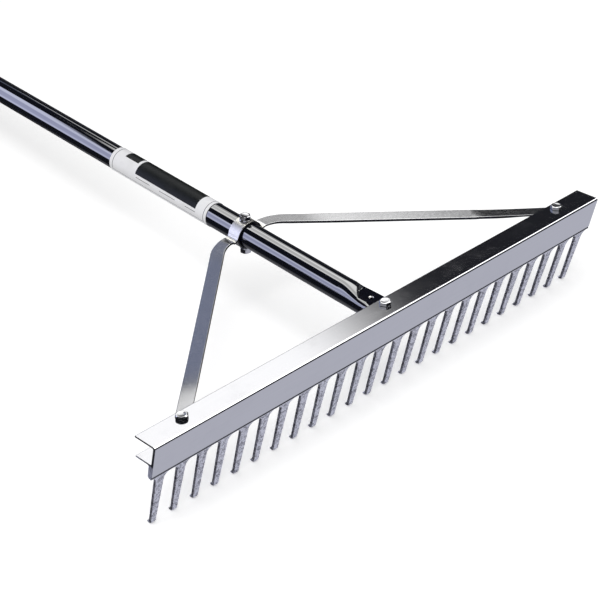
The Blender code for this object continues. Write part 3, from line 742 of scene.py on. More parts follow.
# %% [markdown]
# ## The head: a drawn profile
#
# One profile runs the full length of the head: a top flange, a leaning web in front, a lower
# flange that makes a channel with the top one, a thicker block and, under a small step, the
# strip that the teeth grow from. Boxes could be joined to make it, but a die draws one outline
# of straight lines and arcs along X, and so does this. Its front top edge has the largest
# round, and that is the bright line in the light. A shallow groove just above the step draws a
# dark line under the web.

# %% Outline the profile of the head
TOP_FLANGE_DEPTH = 29.6 * MM
LOWER_FLANGE_DEPTH = 32.0 * MM
FLANGE = 2.0 * MM
CHANNEL_HEIGHT = 20.8 * MM
WEB_LEAN = math.radians(16.4)
WEB_THICKNESS = 2.9 * MM
WEB_FACE = 42.5 * MM
BLOCK_TOP = 6.2 * MM
BLOCK_FOOT = 5.5 * MM
TOOTH_STEP = 0.7 * MM
TOOTH_LEAN = math.radians(1.4)
TOOTH_DEPTH = 3.6 * MM
STRIP = 1.0 * MM
GROOVE = (2.8 * MM, 2.7 * MM, 0.7 * MM)
GROOVE_DEPTH = 0.9 * MM
CHANNEL_TOP = -FLANGE
CHANNEL_FLOOR = CHANNEL_TOP - CHANNEL_HEIGHT
UNDERSIDE = CHANNEL_FLOOR - FLANGE


def on_web(down, behind):
    """Give (Y, Z) so far down the web's face and so far behind it: the face leans by WEB_LEAN."""
    return np.stack([np.sin(WEB_LEAN) * down + np.cos(WEB_LEAN) * behind,
                     -np.cos(WEB_LEAN) * down + np.sin(WEB_LEAN) * behind], axis=-1)


def on_tooth(down, behind):
    """Give (Y, Z) so far down a tooth from the step and so far behind its front. The tooth leans
    by TOOTH_LEAN against the web."""
    return on_web(WEB_FACE + down * np.cos(TOOTH_LEAN) - behind * np.sin(TOOTH_LEAN),
                  TOOTH_STEP + down * np.sin(TOOTH_LEAN) + behind * np.cos(TOOTH_LEAN))


def web_at(behind, height):
    """Give (Y, Z) where a line behind the web's face crosses a height."""
    return on_web((math.sin(WEB_LEAN) * behind - height) / math.cos(WEB_LEAN), behind)


head_outline = rounded([
    (TOP_FLANGE_DEPTH, 0, 1.0 * MM),
    (0, 0, 2.0 * MM),
    (*on_web(WEB_FACE - GROOVE[0], 0), 0.1 * MM),
    (*on_web(WEB_FACE - GROOVE[1], GROOVE_DEPTH), 0.1 * MM),
    (*on_web(WEB_FACE - GROOVE[2], 0), 0.15 * MM),
    (*on_web(WEB_FACE, 0), 0.2 * MM),
    (*on_tooth(TOOTH_STEP / 2, 0), 0.1 * MM),
    (*on_tooth(STRIP, 0), 0),
    (*on_tooth(STRIP, TOOTH_DEPTH), 0),
    (*on_tooth(TOOTH_STEP / 2, TOOTH_DEPTH), 0),
    (*on_web(WEB_FACE, BLOCK_FOOT), 0.3 * MM),
    (*web_at(BLOCK_TOP, UNDERSIDE), 1.0 * MM),
    (LOWER_FLANGE_DEPTH, UNDERSIDE, 0.5 * MM),
    (LOWER_FLANGE_DEPTH, CHANNEL_FLOOR, 0.5 * MM),
    (*web_at(WEB_THICKNESS, CHANNEL_FLOOR), 1.0 * MM),
    (*web_at(WEB_THICKNESS, CHANNEL_TOP), 1.0 * MM),
    (TOP_FLANGE_DEPTH, CHANNEL_TOP, 0.5 * MM)])
print("profile points:", len(head_outline))

# %% [markdown]
# ## The comb of teeth
#
# A punch removed the metal between the teeth and left an arch at the top of each gap. So a
# tooth is wide where it leaves the strip, quickly narrows round the arch, and then tapers to
# its foot. Its side view is the profile's own: a straight shank, a round heel, a sole and a
# toe. Cutting the gaps with booleans would leave hard edges. Here each section down the tooth
# is a rounded rectangle, whose width comes from the punch and whose depth comes from the side
# view. A sum of slanted waves dents it a little.

# %% Give the tooth its side view and its width
TOOTH_PITCH = 25.45 * MM
ROOT_WIDTH = 9.8 * MM
TIP_WIDTH = 5.6 * MM
ARCH_RADIUS = 7.2 * MM
FOOT_CORNER = 1.6 * MM
SOLE_HEIGHT = -106.5 * MM
HEEL_RADIUS = 1.8 * MM
TOE_RADIUS = 0.8 * MM
TOE = (2.0 * MM, 2.4 * MM, 1.6 * MM)
FOOT_LENGTH = 6.5 * MM
TIP_MARGIN = 0.03 * MM
ARCH_ROWS, SHANK_ROWS, FOOT_ROWS = 12, 22, 18


def tooth_at(behind, height):
    """Give (Y, Z) where a line behind a tooth's front crosses a height."""
    start = on_tooth(0.0, behind)
    way = on_tooth(1.0, behind) - start
    return start + way * (height - start[1]) / way[1]


def tooth_side_view():
    """Give arrays of distance down the tooth, and of the front's and the back's distance behind its
    face there. The outline is split at its lowest point into a front run and a back run."""
    toe_length, toe_height, toe_drop = TOE
    toe = tooth_at(TOOTH_DEPTH, SOLE_HEIGHT) + (toe_length, -toe_drop)
    outline = rounded([
        (*on_tooth(STRIP, 0), 0),
        (*tooth_at(0, SOLE_HEIGHT), HEEL_RADIUS),
        (*toe, TOE_RADIUS),
        (toe[0], toe[1] + toe_height, TOE_RADIUS),
        (*tooth_at(TOOTH_DEPTH, toe[1] + toe_height + toe_length / 2), TOE_RADIUS),
        (*on_tooth(STRIP, TOOTH_DEPTH), 0)], steps=10)
    origin = on_tooth(0.0, 0.0)
    down = (outline - origin) @ (on_tooth(1.0, 0.0) - origin)
    behind = (outline - origin) @ (on_tooth(0.0, 1.0) - origin)
    lowest = int(down.argmax())
    tip = down[lowest] - TIP_MARGIN
    foot = tip - FOOT_LENGTH
    arch = STRIP + ARCH_RADIUS * (1 - np.cos(np.linspace(0, math.pi / 2, ARCH_ROWS)))
    places = np.concatenate([arch, np.linspace(arch[-1], foot, SHANK_ROWS)[1:],
                             np.linspace(foot, tip, FOOT_ROWS)[1:]])
    front = np.interp(places, down[:lowest + 1], behind[:lowest + 1])
    back = np.interp(places, down[lowest:][::-1], behind[lowest:][::-1])
    return places, front, back


def tooth_half_width(down):
    """Give half the tooth's width: half the pitch less half the gap. The gap widens evenly from
    root to foot, and a quarter circle rounds it off at its top. The foot's corners are round too."""
    deep = down - STRIP
    root_gap = (TOOTH_PITCH - ROOT_WIDTH) / 2
    tip_gap = (TOOTH_PITCH - TIP_WIDTH) / 2
    gap = root_gap + (tip_gap - root_gap) * deep / deep[-1]
    rest = ARCH_RADIUS - np.minimum(deep, ARCH_RADIUS)
    gap += np.sqrt(ARCH_RADIUS ** 2 - rest ** 2) - ARCH_RADIUS
    rest = FOOT_CORNER - np.minimum(down[-1] - down, FOOT_CORNER)
    return TOOTH_PITCH / 2 - gap - FOOT_CORNER + np.sqrt(FOOT_CORNER ** 2 - rest ** 2)


down, front, back = tooth_side_view()
half_width = tooth_half_width(down)
print("tooth rows:", len(down), "narrowest half width mm:", round(half_width.min() / MM, 2))

# %% [markdown]
# All 24 teeth are worked out at once, as one array with a place for each tooth. The dents read
# a point's place on the whole comb, so no two teeth are alike, and they fade in below the
# strip, where a tooth has to meet the sweep. The outer roots stay inside the head's length.

# %% Loft the teeth and join them to the swept profile
FIRST_TOOTH = 11.4 * MM
TOOTH_COUNT = 24
EDGE_ROUND = 0.45 * MM
END_MARGIN = 0.05 * MM
DENT = 0.10 * MM
DENT_FADE = 8 * MM
DENT_WAVES = 10
DENT_LENGTHS = (0.003, 0.009)
DENT_SEED = 7
SWEEP_STEPS = 48


def dents(points):
    """Add up sine waves of random slants and lengths from a fixed seed, between -1 and 1."""
    random = np.random.default_rng(DENT_SEED)
    slants = random.normal(size=(DENT_WAVES, 3))
    lengths = random.uniform(*DENT_LENGTHS, (DENT_WAVES, 1))
    slants *= (2 * math.pi / lengths) / np.linalg.norm(slants, axis=1, keepdims=True)
    phases = random.uniform(0, 2 * math.pi, DENT_WAVES)
    return np.sin(points @ slants.T + phases).sum(axis=-1) / DENT_WAVES


seat, way = rounded_section(flat_steps=8, side_steps=5)
deep = (back - front) / 2
edge = np.minimum(EDGE_ROUND, deep * ROUND_SHARE)
across = seat[:, 0] * (half_width - edge)[:, None] + way[:, 0] * edge[:, None]
behind = ((front + back) / 2)[:, None] + seat[:, 1] * (deep - edge)[:, None] + way[:, 1] * edge[:, None]
x = (FIRST_TOOTH + np.arange(TOOTH_COUNT) * TOOTH_PITCH)[:, None, None] + across
x, low_down, behind = np.broadcast_arrays(x, down[:, None], behind)
fade = np.clip((low_down - STRIP) / DENT_FADE, 0, 1)
dent = DENT * fade * dents(np.stack([x, low_down, behind], axis=-1))
side = on_tooth(low_down, behind + dent * way[:, 1])
x = np.clip(x + dent * way[:, 0], END_MARGIN, HEAD_LENGTH - END_MARGIN)
teeth = from_head(np.stack([x, side[..., 0], side[..., 1]], axis=-1))

swept = np.empty((SWEEP_STEPS + 1, len(head_outline), 3))
swept[..., 0] = np.linspace(0, HEAD_LENGTH, SWEEP_STEPS + 1)[:, None]
swept[..., 1:] = head_outline
sawn_at_ends = [0] * (SWEEP_STEPS * len(head_outline)) + [2, 2]
skins = [skin(from_head(swept), sawn_at_ends)] + [skin(tooth, 1) for tooth in teeth]
make_piece("fine_head", "rake_head", skins, [aluminium, tooth_metal, sawn])

# %% [markdown]
# ## The tube and its pressed end
#
# The handle is a steel tube whose end was pressed until it fits the head's channel. The press
# made its top almost flat, with tight shoulders, and left its belly round. A sculpted mesh
# could show this, but a formula keeps the sides true along 1.65 m. Along the tube the section
# blends from a superellipse into a circle, and a plane cuts the crown off it where the press
# stood. The cut ends on a slanting line, which is the hard corner in the bright stripe.

# %% Shape the sections of the tube
TUBE_RADIUS = 13.5 * MM
TUBE_SIDES = 160
SEAT_GAP = 0.3 * MM
FLAT_CROWN = 9.5 * MM
FLAT_POWER = 3.0
FLAT_HALF_WIDTH = 15.0 * MM
FLAT_SHOULDER = 7.0 * MM
FLAT_BELLY = CHANNEL_HEIGHT - 2 * SEAT_GAP - FLAT_SHOULDER
PRESS_LENGTH = 26.0 * MM
PRESS_SLANT_END = 2.0 * MM
PRESS_FADE = 2.5 * MM
PRESS_FADE_GROWTH = 4
PRESS_FADE_REACH = 12 * MM
PRESS_LEAN = math.tan(math.radians(3.6))
PRESS_PIVOT = 0.4
PRESS_RIDGE = 13.0
PRESS_RIDGE_RISE = 8 * MM
PRESS_CORNER = 0.7 * MM
PRESS_SIDE_BLEND = 6


def eased(value):
    """Ease a share from 0 to 1: three times its square less twice its cube."""
    value = np.clip(value, 0, 1)
    return value ** 2 * (3 - 2 * value)


def tube_rings(centre, flat, past_head, inset):
    """Give one ring for each share of flatness. The upper half is a superellipse and the lower half
    an ellipse, both about the widest level, drawn in by an inset. The press cuts the upper one with
    a leaning plane that curls up by the square of the distance on the left, once it is past the
    head. The cut is a smooth minimum: the mean of both heights less half the root of their
    difference squared plus the corner's size squared. The press ends on a slanting line."""
    angle = 2 * math.pi * (np.arange(TUBE_SIDES) + 0.5) / TUBE_SIDES
    cosine, sine = np.cos(angle), np.sin(angle)
    flat = flat[:, None]
    past_head = past_head[:, None]
    wide = TUBE_RADIUS + (FLAT_HALF_WIDTH - TUBE_RADIUS) * flat - inset
    above = TUBE_RADIUS + (FLAT_CROWN - TUBE_RADIUS) * flat - inset
    below = TUBE_RADIUS + (FLAT_BELLY - TUBE_RADIUS) * flat - inset
    power = 2 / (2 + (FLAT_POWER - 2) * flat)
    x = wide * np.where(sine > 0, np.sign(cosine) * np.abs(cosine) ** power, cosine)
    z = np.where(sine > 0, above * np.abs(sine) ** power, below * sine)
    ridge = PRESS_RIDGE * eased(past_head / PRESS_RIDGE_RISE) * np.maximum(PRESS_SLANT_END - x, 0) ** 2
    plane = FLAT_SHOULDER - inset - PRESS_LEAN * (x + FLAT_HALF_WIDTH * PRESS_PIVOT) + ridge
    cut = (z + plane - np.sqrt((z - plane) ** 2 + PRESS_CORNER ** 2)) / 2
    fade = PRESS_FADE * (1 + PRESS_FADE_GROWTH * eased(x / PRESS_FADE_REACH))
    press = 1 - eased((past_head - np.minimum(x, PRESS_SLANT_END) - PRESS_LENGTH) / fade)
    z += press * np.clip(sine * PRESS_SIDE_BLEND, 0, 1) * (cut - z)
    tilt = -HANDLE_RISE * flat
    return centre[:, None, :] + np.stack([x, -z * np.sin(tilt), z * np.cos(tilt)], axis=-1)


print("half heights of the pressed end mm:", round(FLAT_SHOULDER / MM, 1), round(FLAT_BELLY / MM, 1))

# %% [markdown]
# The rings follow a centre line in three runs: level under the flange, a taper that eases from
# the pressed section to the round one, and the straight tube. An outer and an inner set of
# rings make the wall.

# %% Make the tube
TUBE_WALL = 1.6 * MM
TUBE_LENGTH = 1650 * MM
FLAT_START = 1.3 * MM
FLAT_LENGTH = 24.0 * MM
FLAT_TAPER = 42.0 * MM
FLAT_RINGS, TAPER_RINGS, STRAIGHT_RINGS = 13, 61, 41


def to_handle(points):
    """Carry points from the head's frame to the handle's."""
    return turned_about_x(np.asarray(points, float) - HANDLE_ROOT, -HANDLE_RISE)


behind_web = web_at(WEB_THICKNESS, CHANNEL_FLOOR)[0] + FLAT_START
flat_start = to_handle((HANDLE_X, behind_web, CHANNEL_TOP - SEAT_GAP - FLAT_SHOULDER))
flat_end = flat_start + turned_about_x((0, FLAT_LENGTH, 0), -HANDLE_RISE)
round_start = np.array([0, flat_end[1] + FLAT_TAPER, 0])
tube_end = np.array([0, flat_start[1] + TUBE_LENGTH, 0])
centre = np.concatenate([
    flat_start + (flat_end - flat_start) * np.linspace(0, 1, FLAT_RINGS)[:-1, None],
    flat_end + (round_start - flat_end) * np.linspace(0, 1, TAPER_RINGS)[:, None],
    round_start + (tube_end - round_start) * np.linspace(0, 1, STRAIGHT_RINGS)[1:, None]])
along = centre[:, 1] - flat_start[1]
flat = 1 - eased((along - FLAT_LENGTH) / FLAT_TAPER)
past_head = along - (to_handle((HANDLE_X, TOP_FLANGE_DEPTH, 0))[1] - flat_start[1])
outer = tube_rings(centre, flat, past_head, 0.0)
inner = tube_rings(centre, flat, past_head, TUBE_WALL)
wall = from_handle(np.concatenate([outer, inner[::-1]]))
tube = make_piece("fine_tube", "handle_tube", [skin(wall, closed=True)], [enamel], smooth_below=20)

# %% [markdown]
# A small pilot hole shows in the flat end, just behind the head. It is drilled through the
# enamel into bare steel, so its rim shines. A solid of the drill's shape is cut out of the
# tube's mesh, and the cut faces keep the drill's own material.

# %% Drill the pilot hole
PILOT_RADIUS = 1.5 * MM
PILOT_RIM = 2.4 * MM
PILOT_PLACE = (HANDLE_X + 3.0 * MM, TOP_FLANGE_DEPTH + 11.6 * MM, CHANNEL_TOP - SEAT_GAP - 0.6 * MM)
DRILL_SIDES = 32
DRILL = ((PILOT_RADIUS, -4 * MM), (PILOT_RADIUS, -0.5 * MM),
         (PILOT_RIM, 0.05 * MM), (PILOT_RIM * 1.6, 1.0 * MM))


def bare_steel():
    """Freshly drilled steel with fine turning marks."""
    material, tree, place = new_finish("bare steel", METAL)
    grain = place_group(tree, tumble_marks, Vector=place, Fineness=2200.0)
    colour = mixed(tree, grain["Pit"], (0.75, 0.74, 0.72), (0.50, 0.49, 0.47))
    return finished(material, colour, scaled(tree, grain["Height"], 0.25, 0.45))


def drill(piece, points, faces, metal):
    """Cut a drill's shape out of a piece: straight below, and a cone for the rim."""
    mesh = bpy.data.meshes.new("drill")
    mesh.from_pydata(points.tolist(), [], faces)
    mesh.materials.append(metal)
    cutter = add_object("drill", mesh)
    cut = piece.modifiers.new("drill", "BOOLEAN")
    cut.operation = "DIFFERENCE"
    cut.solver = "EXACT"
    cut.material_mode = "TRANSFER"
    cut.object = cutter
    cut_piece = piece.evaluated_get(bpy.context.evaluated_depsgraph_get())
    piece.data = bpy.data.meshes.new_from_object(cut_piece)
    piece.modifiers.clear()
    bpy.data.objects.remove(cutter)


bit = from_handle(turned_about_x(lathe(DRILL, DRILL_SIDES), -HANDLE_RISE) + to_handle(PILOT_PLACE))
drill(tube, *skin(bit)[:2], bare_steel())
print("tube after drilling:", len(tube.data.vertices), "points,", len(tube.data.materials), "materials")

# %% [markdown]
# ## The end cap
#
# A moulded cup closes the far end of the tube. It is a turned form, so the lathe makes it: a
# profile of radius and height, carried once round an axis and laid along the tube.

# %% Make the cap and its plastic
CAP_LENGTH = 40 * MM
CAP_WALL = 1.8 * MM
CAP_FLOOR = 3.0 * MM
CAP_ROUND = 1.5 * MM
CAP_HUB = 2 * MM
CAP_SIDES = 96
CAP_STEPS = 9


def moulded_plastic():
    """Black plastic with a fine moulded grain."""
    material, tree, place = new_finish("moulded plastic", {})
    grain = place_group(tree, tumble_marks, Vector=place, Fineness=1500.0)
    marks = place_group(tree, handling, Vector=place, Size=40.0)
    colour = mixed(tree, marks["Smear"], (0.012, 0.012, 0.013), (0.03, 0.03, 0.031))
    roughness = scaled(tree, grain["Pit"], 0.38, 0.55)
    return finished(material, colour, roughness, (grain["Height"], 0.4, 0.0002))


def along_tube(profile, start, sides):
    """Turn (radius, distance) points round the tube's axis, with distances from a start."""
    return lathe(np.asarray(profile) + (0, start), sides)[..., [0, 2, 1]]


inside = TUBE_RADIUS + SEAT_GAP
outside = inside + CAP_WALL
top = CAP_FLOOR + SEAT_GAP
corner = (outside - CAP_ROUND, top - CAP_ROUND) + CAP_ROUND * circle(np.linspace(math.pi / 2, 0, CAP_STEPS))
lip = np.linspace(0, math.pi, CAP_STEPS)
rim = np.stack([(inside + outside) / 2 + CAP_WALL / 2 * np.cos(lip),
                top - CAP_LENGTH + CAP_WALL / 2 * (1 - np.sin(lip))], axis=1)
profile = np.concatenate([[(CAP_HUB, top)], corner, rim, [(inside, SEAT_GAP), (CAP_HUB, SEAT_GAP)]])
cup = from_handle(along_tube(profile, tube_end[1], CAP_SIDES))
make_piece("fine_end_cap", "handle_end_cap", [skin(cup)], [moulded_plastic()])

# %% [markdown]
# ## The label
#
# A paper label is wrapped round the tube below the grip. The print is plain: a black panel, a
# black tab beside it, three short dashes and a thin border. Printed shapes could be thin
# meshes, but ink has no thickness. It is drawn on the label's own UV map, where U counts turns
# round the tube and V counts metres along it, so the print keeps to the paper.

# %% Print the label
LABEL_AT = 244.5 * MM
INK = (0.004, 0.005, 0.005)
WORN_INK = (0.02, 0.021, 0.021)
FINE_INK = (0.05, 0.05, 0.055)
PAPER_WHITE = (0.80, 0.80, 0.82)
SOILED_PAPER = (0.70, 0.70, 0.71)
INK_EDGES = (0.0012, 0.00012)
BORDER_TURN = (-10, 200)
DASH_TURN = (171, 173.5)
BOLD_PRINT = (((18, 158), (262, 364.5)), ((38, 110), (368.5, 391)))
FINE_PRINT = (((197.8, 200), (248.7, 404.6)), (BORDER_TURN, (248.4, 249.1)), (BORDER_TURN, (404.0, 404.7)),
              (DASH_TURN, (261.5, 278.4)), (DASH_TURN, (295.7, 322.1)), (DASH_TURN, (338.4, 362.5)))

print_box, given, result = new_group("print box", ("U", "V", "Left", "Right", "Low", "High"), ("Ink",))
round_it = window(print_box, given["U"], given["Left"], given["Right"], INK_EDGES[0])
along_it = window(print_box, given["V"], given["Low"], given["High"], INK_EDGES[1])
feed(print_box, result["Ink"], calc(print_box, "MULTIPLY", round_it, along_it))


def printed(tree, place, boxes):
    """Print boxes, each between two angles in degrees round the tube and two distances in
    millimetres from the head."""
    ink = 0.0
    for (left, right), (low, high) in boxes:
        box = place_group(tree, print_box, U=place["X"], V=place["Y"],
                          Left=left / 360, Right=right / 360,
                          Low=low * MM - LABEL_AT, High=high * MM - LABEL_AT)
        ink = calc(tree, "MAXIMUM", ink, box["Ink"])
    return ink


def label_paper():
    """Satin white paper with its plain print."""
    material, tree, place = new_finish("label paper", {"Specular IOR Level": 0.12})
    paper = split(tree, place.node.outputs["UV"])
    smear = place_group(tree, handling, Vector=place, Size=45.0)["Smear"]
    stock = mixed(tree, scaled(tree, smear, 0.0, 0.5), PAPER_WHITE, SOILED_PAPER)
    ink = mixed(tree, scaled(tree, smear, 0.0, 0.3), INK, WORN_INK)
    colour = mixed(tree, printed(tree, paper, FINE_PRINT), stock, FINE_INK)
    colour = mixed(tree, printed(tree, paper, BOLD_PRINT), colour, ink)
    roughness = scaled(tree, smear, 0.42, 0.55)
    return finished(material, colour, roughness, (noise(tree, place, 900.0, 2.0), 0.15, 0.00005))


printed_paper = label_paper()
print("printed boxes:", len(BOLD_PRINT) + len(FINE_PRINT))

# %% [markdown]
# The wrap is a thin closed sleeve. Its columns run round the tube and its rows along it, so
# the UV map can be read off a point's number.

# %% Wrap the label
LABEL_LENGTH = 165.0 * MM
LABEL_THICKNESS = 0.25 * MM
LABEL_SIDES = 144
LABEL_ROWS = 12


def map_label(mesh, heights):
    """Lay the UV map: U is the column over the number of sides, V is the height along the label.
    The faces across the seam keep the U of the seam."""
    corners = np.empty(len(mesh.loops), np.int32)
    mesh.loops.foreach_get("vertex_index", corners)
    column = (corners % LABEL_SIDES).reshape(-1, 4)
    column[np.ptp(column, axis=1) > 1] = 0
    place = np.stack([column.ravel() / LABEL_SIDES, heights[corners // LABEL_SIDES]], axis=1)
    mesh.uv_layers.new(name="wrap").data.foreach_set("uv", place.ravel())


out = np.linspace(0, LABEL_LENGTH, LABEL_ROWS)
radii = np.repeat([inside + LABEL_THICKNESS, inside], LABEL_ROWS)
profile = np.stack([radii, np.append(out, out[::-1])], axis=1)
wrap = from_handle(along_tube(profile, LABEL_AT, LABEL_SIDES))
label = make_piece("fine_label", "handle_label", [skin(wrap, closed=True)], [printed_paper])
map_label(label.data, profile[:, 1])

# %% [markdown]
# ## The braces
#
# Each brace is one flat bar. It lies under the top flange, where a bolt holds its rounded end,
# runs back towards the tube with a slight rise, bends in its own plane, folds up against the
# tube and wraps over it as a strap. The right one is the same bar turned over, so its strap
# runs under the tube. A curve with a bevel would twist at the fold, so the bar is a section
# carried between its own two edges. First come the edges of an arm, seen from above and then
# lifted to the bar's height.

# %% Lay out the arms
BRACE_WIDTH = 14.5 * MM
BRACE_THICKNESS = 2.0 * MM
BRACE_END_MARGIN = 2.0 * MM
BRACE_CORNER_OFFSET = 37.0 * MM
BRACE_CORNER_RADIUS = 38.0 * MM
BRACE_RUN_OUT = 20.0 * MM
BRACE_LEVEL = {"left": -1.5 * MM, "right": 1.4 * MM}
BRACE_EASE = 45.0 * MM
CLAMP_AT = 196.2 * MM
BOLT_INSET = 46.0 * MM
BOLT_DEPTH = 19.5 * MM
BAR_TIP = 0.08
END_STEPS, STRAIGHT_STEPS, BEND_STEPS = 9, 60, 17


def left_of(ways):
    """Turn ways in the plan a quarter turn to the left: (x, y) becomes (-y, x)."""
    return ways[..., ::-1] * (-1, 1)


def arm_line(clamp):
    """Give a left arm's bolt and corner seen from above, and the way from one to the other."""
    bolt = np.array([BOLT_INSET, BOLT_DEPTH])
    corner = np.array([HANDLE_X - BRACE_CORNER_OFFSET, clamp[1]])
    return bolt, corner, (corner - bolt) / np.linalg.norm(corner - bolt)


def brace_height(y, clamp):
    """Give the height of a bar's middle at a distance Y: level under the flange, then a slope
    that eases in, and the tube's own rise over the last stretch."""
    seat = CHANNEL_TOP - SEAT_GAP - BRACE_THICKNESS / 2
    run_out = clamp[1] - BRACE_RUN_OUT
    run_out_height = clamp[2] - BRACE_RUN_OUT * math.tan(HANDLE_RISE)
    past = np.maximum(y - LOWER_FLANGE_DEPTH, 0)
    slope = (run_out_height - seat) / (run_out - LOWER_FLANGE_DEPTH - BRACE_EASE / 2)
    risen = np.where(past < BRACE_EASE, past ** 2 / (2 * BRACE_EASE), past - BRACE_EASE / 2)
    return np.where(y < run_out, seat + slope * risen, clamp[2] + (y - clamp[1]) * math.tan(HANDLE_RISE))


def arm_edges(clamp):
    """Give the two edges of a left arm that ends at the clamp, as an array of (stations, 2, 3). Its
    half width grows round the end as a sine does, and the bend is an arc about a centre beside the
    corner."""
    bolt, corner, along = arm_line(clamp)
    turn = math.atan2(along[1], along[0])
    tangent = BRACE_CORNER_RADIUS * math.tan(turn / 2)
    straight = np.linspace(-BRACE_END_MARGIN, np.linalg.norm(corner - bolt) - tangent, STRAIGHT_STEPS)[1:]
    half = BRACE_WIDTH / 2
    end = np.linspace(BAR_TIP, 1, END_STEPS) * math.pi / 2
    bend = circle(turn * (1 - np.linspace(0, 1, BEND_STEPS)[1:]))
    bend_centre = corner - along * tangent - left_of(along) * BRACE_CORNER_RADIUS
    run = np.concatenate([-BRACE_END_MARGIN - half * np.cos(end), straight])
    middle = np.concatenate([bolt + along * run[:, None],
                             bend_centre + left_of(bend) * BRACE_CORNER_RADIUS])
    heading = np.concatenate([np.tile(along, (len(run), 1)), bend])
    widths = np.append(half * np.sin(end), np.full(len(straight) + len(bend), half))
    across = left_of(heading) * widths[:, None]
    plan = np.stack([middle - across, middle + across], axis=1)
    return np.concatenate([plan, brace_height(plan[..., 1], clamp)[..., None]], axis=2)


def inward(edges, clamp):
    """Give how far an arm's edges lie on the tube's side of the line that its straight part follows."""
    bolt, _, along = arm_line(clamp)
    return (edges[..., :2] - bolt) @ -left_of(along)


clamps = {side: turned_about_x((0, CLAMP_AT, level), HANDLE_RISE) + HANDLE_ROOT
          for side, level in BRACE_LEVEL.items()}
print("arms end at mm:", {side: np.round(clamp / MM, 1).tolist() for side, clamp in clamps.items()})

# %% [markdown]
# Then come the edges of a strap, in the handle's frame. A bent strap springs open a little, so
# it stands off the tube at its sides.

# %% Fold the straps
BRACE_FOLD_RADIUS = 6.0 * MM
STRAP_FLARE = 0.10
STRAP_WIDTH = 15.8 * MM
FOLD_STEPS = 9
STRAP_STEPS = 48
STRAP_GROWTH_STEPS = 12
STRAP_GROWTH = (-0.3, 0.7)


def strap_edges(level, over):
    """Give the two edges of a strap. It folds up with a small radius from a level beside the tube
    and then follows a circle about the tube's axis, which the flare widens towards its sides."""
    arch = TUBE_RADIUS + SEAT_GAP + BRACE_THICKNESS / 2
    fold = level + BRACE_FOLD_RADIUS
    reach = math.sqrt((arch + BRACE_FOLD_RADIUS) ** 2 - fold ** 2)
    fold_turn = math.acos(fold / (arch + BRACE_FOLD_RADIUS))
    angle = fold_turn * np.linspace(0, 1, FOLD_STEPS)[:-1]
    folded = (-reach, fold) - BRACE_FOLD_RADIUS * left_of(circle(angle))
    last = math.asin((level + BRACE_THICKNESS / 2 + 2 * SEAT_GAP) / arch)
    angle = np.linspace(math.pi / 2 + fold_turn, last, STRAP_STEPS)
    flare = 1 + STRAP_FLARE * (1 - np.sin(angle))
    round_tube = arch * np.stack([np.cos(angle) * flare, np.sin(angle)], axis=1)
    folded[:, 0] += round_tube[0, 0] - arch * math.cos(angle[0])
    middle = np.concatenate([folded, round_tube]) * over
    grown = eased(np.arange(len(middle)) / STRAP_GROWTH_STEPS)[:, None] * (STRAP_WIDTH - BRACE_WIDTH)
    edges = np.empty((len(middle), 2, 3))
    edges[..., 0] = middle[:, :1]
    edges[..., 1] = CLAMP_AT + np.array([-1, 1]) * BRACE_WIDTH / 2 + grown * STRAP_GROWTH
    edges[..., 2] = middle[:, 1:]
    return turned_about_x(edges, HANDLE_RISE) + HANDLE_ROOT


straps = {side: strap_edges(over * BRACE_LEVEL[side], over)
          for side, over in (("left", 1), ("right", -1))}
print("strap stations:", {side: len(strap) for side, strap in straps.items()})

# %% [markdown]
# Last, the section is carried along each bar. The arms twist a little about their length, as
# bent bars do, which changes what of the studio they mirror. Between bolt and bend the lower
# face hangs almost a millimetre lower, because the real bars look thicker than the packed
# ones. The narrow edges cut by the shears are coloured near black, which is painted shade, and
# the bent straps get a finish of their own.

# %% Bend the bars
BAR_SECTION = rounded_section(flat_steps=10, side_steps=2)
BAR_EDGE = 0.2 * MM
EDGE_FACE = 0.35
ARM_DROP = 0.9 * MM
ARM_DROP_FROM = 40.0 * MM
ARM_DROP_EASE = 30.0 * MM
ARM_TILT = {"left": ((0.10, 0.31, 0.985, 1.0), (0.0, 8.0, 8.5, 4.0)),
            "right": ((0.28, 0.295, 0.78, 0.89, 1.0), (0.0, -2.8, -2.6, 0.6, 1.2))}


def bar_grid(edges, drop):
    """Carry a rounded rectangle along a bar. The way across comes from the two edges, and the way
    through is square to it and to the path. The lower face hangs lower by the drop at each station."""
    middle = edges.mean(axis=1)
    across = (edges[:, 1] - edges[:, 0]) / 2
    half = np.linalg.norm(across, axis=1, keepdims=True)
    across = across / half
    through = np.cross(np.gradient(middle, axis=0), across)
    through /= np.linalg.norm(through, axis=1, keepdims=True)
    through *= np.sign(through[:1, 2:])
    half = np.minimum(half, STRAP_WIDTH / 2)
    seat, way = BAR_SECTION
    edge = np.minimum(BAR_EDGE, half * ROUND_SHARE)
    wide = seat[:, 0] * (half - edge) + way[:, 0] * edge
    thick = seat[:, 1] * (BRACE_THICKNESS / 2 - edge) + way[:, 1] * edge - (seat[:, 1] < 0) * drop[:, None]
    return from_head(middle[:, None] + wide[..., None] * across[:, None]
                     + thick[..., None] * through[:, None])


